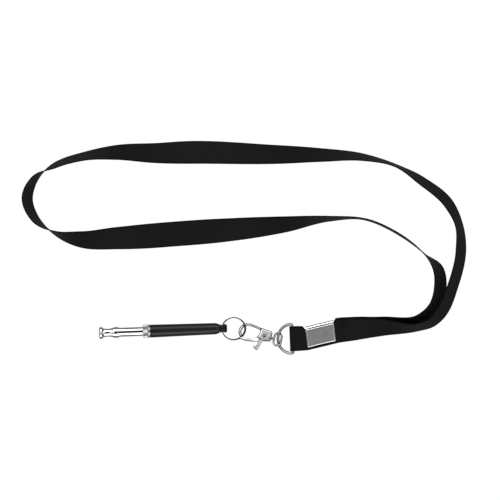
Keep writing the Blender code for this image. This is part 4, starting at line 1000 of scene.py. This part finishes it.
ring_stations = [
    (27.4, 2.95), (27.4, 3.9), (27.46, 4.03), (27.6, 4.12), (27.75, 4.15), (30.15, 4.15), (30.28, 4.1),
    (30.35, 3.85), (30.48, 3.78), (30.6, 3.85), (30.68, 4.1), (30.8, 4.15), (31.3, 4.15), (31.48, 4.1),
    (31.57, 4.0),
    (31.6, 3.88), (31.6, 2.95), (27.4, 2.95),
]
teeth = 66
tooth_depth = 0.030
knurl_floor = 4.0 * MM
knurl_end = 30.3 * MM
ring_side = [(x * MM, radius * MM) for x, radius in ring_stations]
lock_ring = lathe("knurled_lock_ring", ring_side, sides=teeth * 4)
for vertex in lock_ring.data.vertices:
    out = math.hypot(vertex.co.y, vertex.co.z)
    if out > knurl_floor and vertex.co.x < knurl_end:
        turn = math.atan2(vertex.co.z, vertex.co.y) / (2 * math.pi) * teeth
        sunk = 1 - tooth_depth * (0.5 + 0.5 * math.cos(2 * math.pi * turn))
        vertex.co.y *= sunk
        vertex.co.z *= sunk
tidied(lock_ring, axis_place, angle=25)
knurled = worn_metal("knurled_nickel", (0.42, 0.42, 0.41), (0.30, 0.30, 0.295), 0.32, 0.15, 0.15)
lock_ring.data.materials.append(knurled)
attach(lock_ring, "lock_nut")
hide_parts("lock_ring")

# ==================================================================== Tube and mouthpiece
# The resonator tube is drawn brass, nickel plated and polished. The mouthpiece is turned from bar with a
# rolled lip, a slim waist and a flared shoulder, and is pressed onto the tube. A plug inside it leaves the
# windway.

mirror_nickel = worn_metal("mirror_nickel", (0.82, 0.815, 0.80), (0.70, 0.695, 0.675), 0.05, 0.07, 0.06)
tube_stations = [
    (10.9, 2.2), (10.9, 2.8), (10.95, 2.85), (27.0, 2.85), (47.4, 2.85), (47.65, 2.8), (47.75, 2.6),
    (47.75, 2.15), (11.0, 2.15), (10.9, 2.2),
]
tube = lathe("polished_tube", [(x * MM, radius * MM) for x, radius in tube_stations], sides=96)
tidied(tube, axis_place, angle=30)
tube.data.materials.append(mirror_nickel)
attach(tube, "whistle_tube")
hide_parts("resonator_tube")

mouth_stations = [(0.0, 2.0)] + arc((1.2, 2.65), 1.2, 180, 38, 16)
for i in range(11):
    share = i / 10
    mouth_stations.append((2.2 + 3.5 * share, 2.5 + 0.85 * (1 - share) ** 4))
for i in range(1, 15):
    share = i / 14
    mouth_stations.append((5.7 + 5.5 * share, 2.5 + 1.0 * eased(share)))
mouth_stations += [
    (11.25, 3.5), (11.35, 3.2), (11.65, 3.2), (11.75, 3.5), (12.02, 3.5), (12.14, 3.47), (12.2, 3.38),
    (12.2, 2.95), (10.7, 2.95), (10.7, 2.15), (9.6, 2.15), (9.6, 1.7), (0.3, 1.7), (0.08, 1.8), (0.0, 2.0),
]
mouth_side = [(x * MM, radius * MM) for x, radius in mouth_stations]
mouthpiece = lathe("turned_mouthpiece", mouth_side, sides=128)
tidied(mouthpiece, Matrix.Identity(4))
bpy.ops.object.select_all(action="DESELECT")
bpy.ops.mesh.primitive_cylinder_add(vertices=3, radius=1.0, depth=3.2 * MM)
window = bpy.context.object
window_spot = Matrix.Translation((10.15 * MM, 0.0, 3.2 * MM))
window_size = Matrix.Diagonal((0.9 * MM, 1.15 * MM, 1.0, 1.0))
window.data.transform(window_spot @ window_size @ turned_about(90, "Z"))
cut_away(mouthpiece, window)
tidied(mouthpiece, axis_place, angle=30)
mouthpiece.data.materials.append(mirror_nickel)
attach(mouthpiece, "whistle_tube")
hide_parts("mouthpiece")

# ==================================================================== Inside the whistle
# The plug behind the lip, the threaded bush, and the rod, piston and seal that set the pitch. They keep
# their machined shapes, and each gets the metal or rubber that it is made of.

turned_brass = worn_metal("turned_brass", (0.72, 0.52, 0.22), (0.55, 0.38, 0.15), 0.16, 0.15, 0.3)
drawn_rod = worn_metal("drawn_steel_rod", (0.52, 0.52, 0.53), (0.38, 0.38, 0.39), 0.20, 0.15, 0.2)
seal_rubber = worn_metal(
    "black_seal_rubber", (0.020, 0.020, 0.021), (0.035, 0.034, 0.033), 0.55, 0.25, 0.4, metallic=0.0
)
inner_finish = {
    "fipple_plug": mirror_nickel,
    "threaded_bush": turned_brass,
    "piston_head": turned_brass,
    "piston_rod": drawn_rod,
    "piston_seal": seal_rubber,
}
for name, finish in inner_finish.items():
    node = frame["nodes"][name]
    node.data.materials.clear()
    node.data.materials.append(finish)
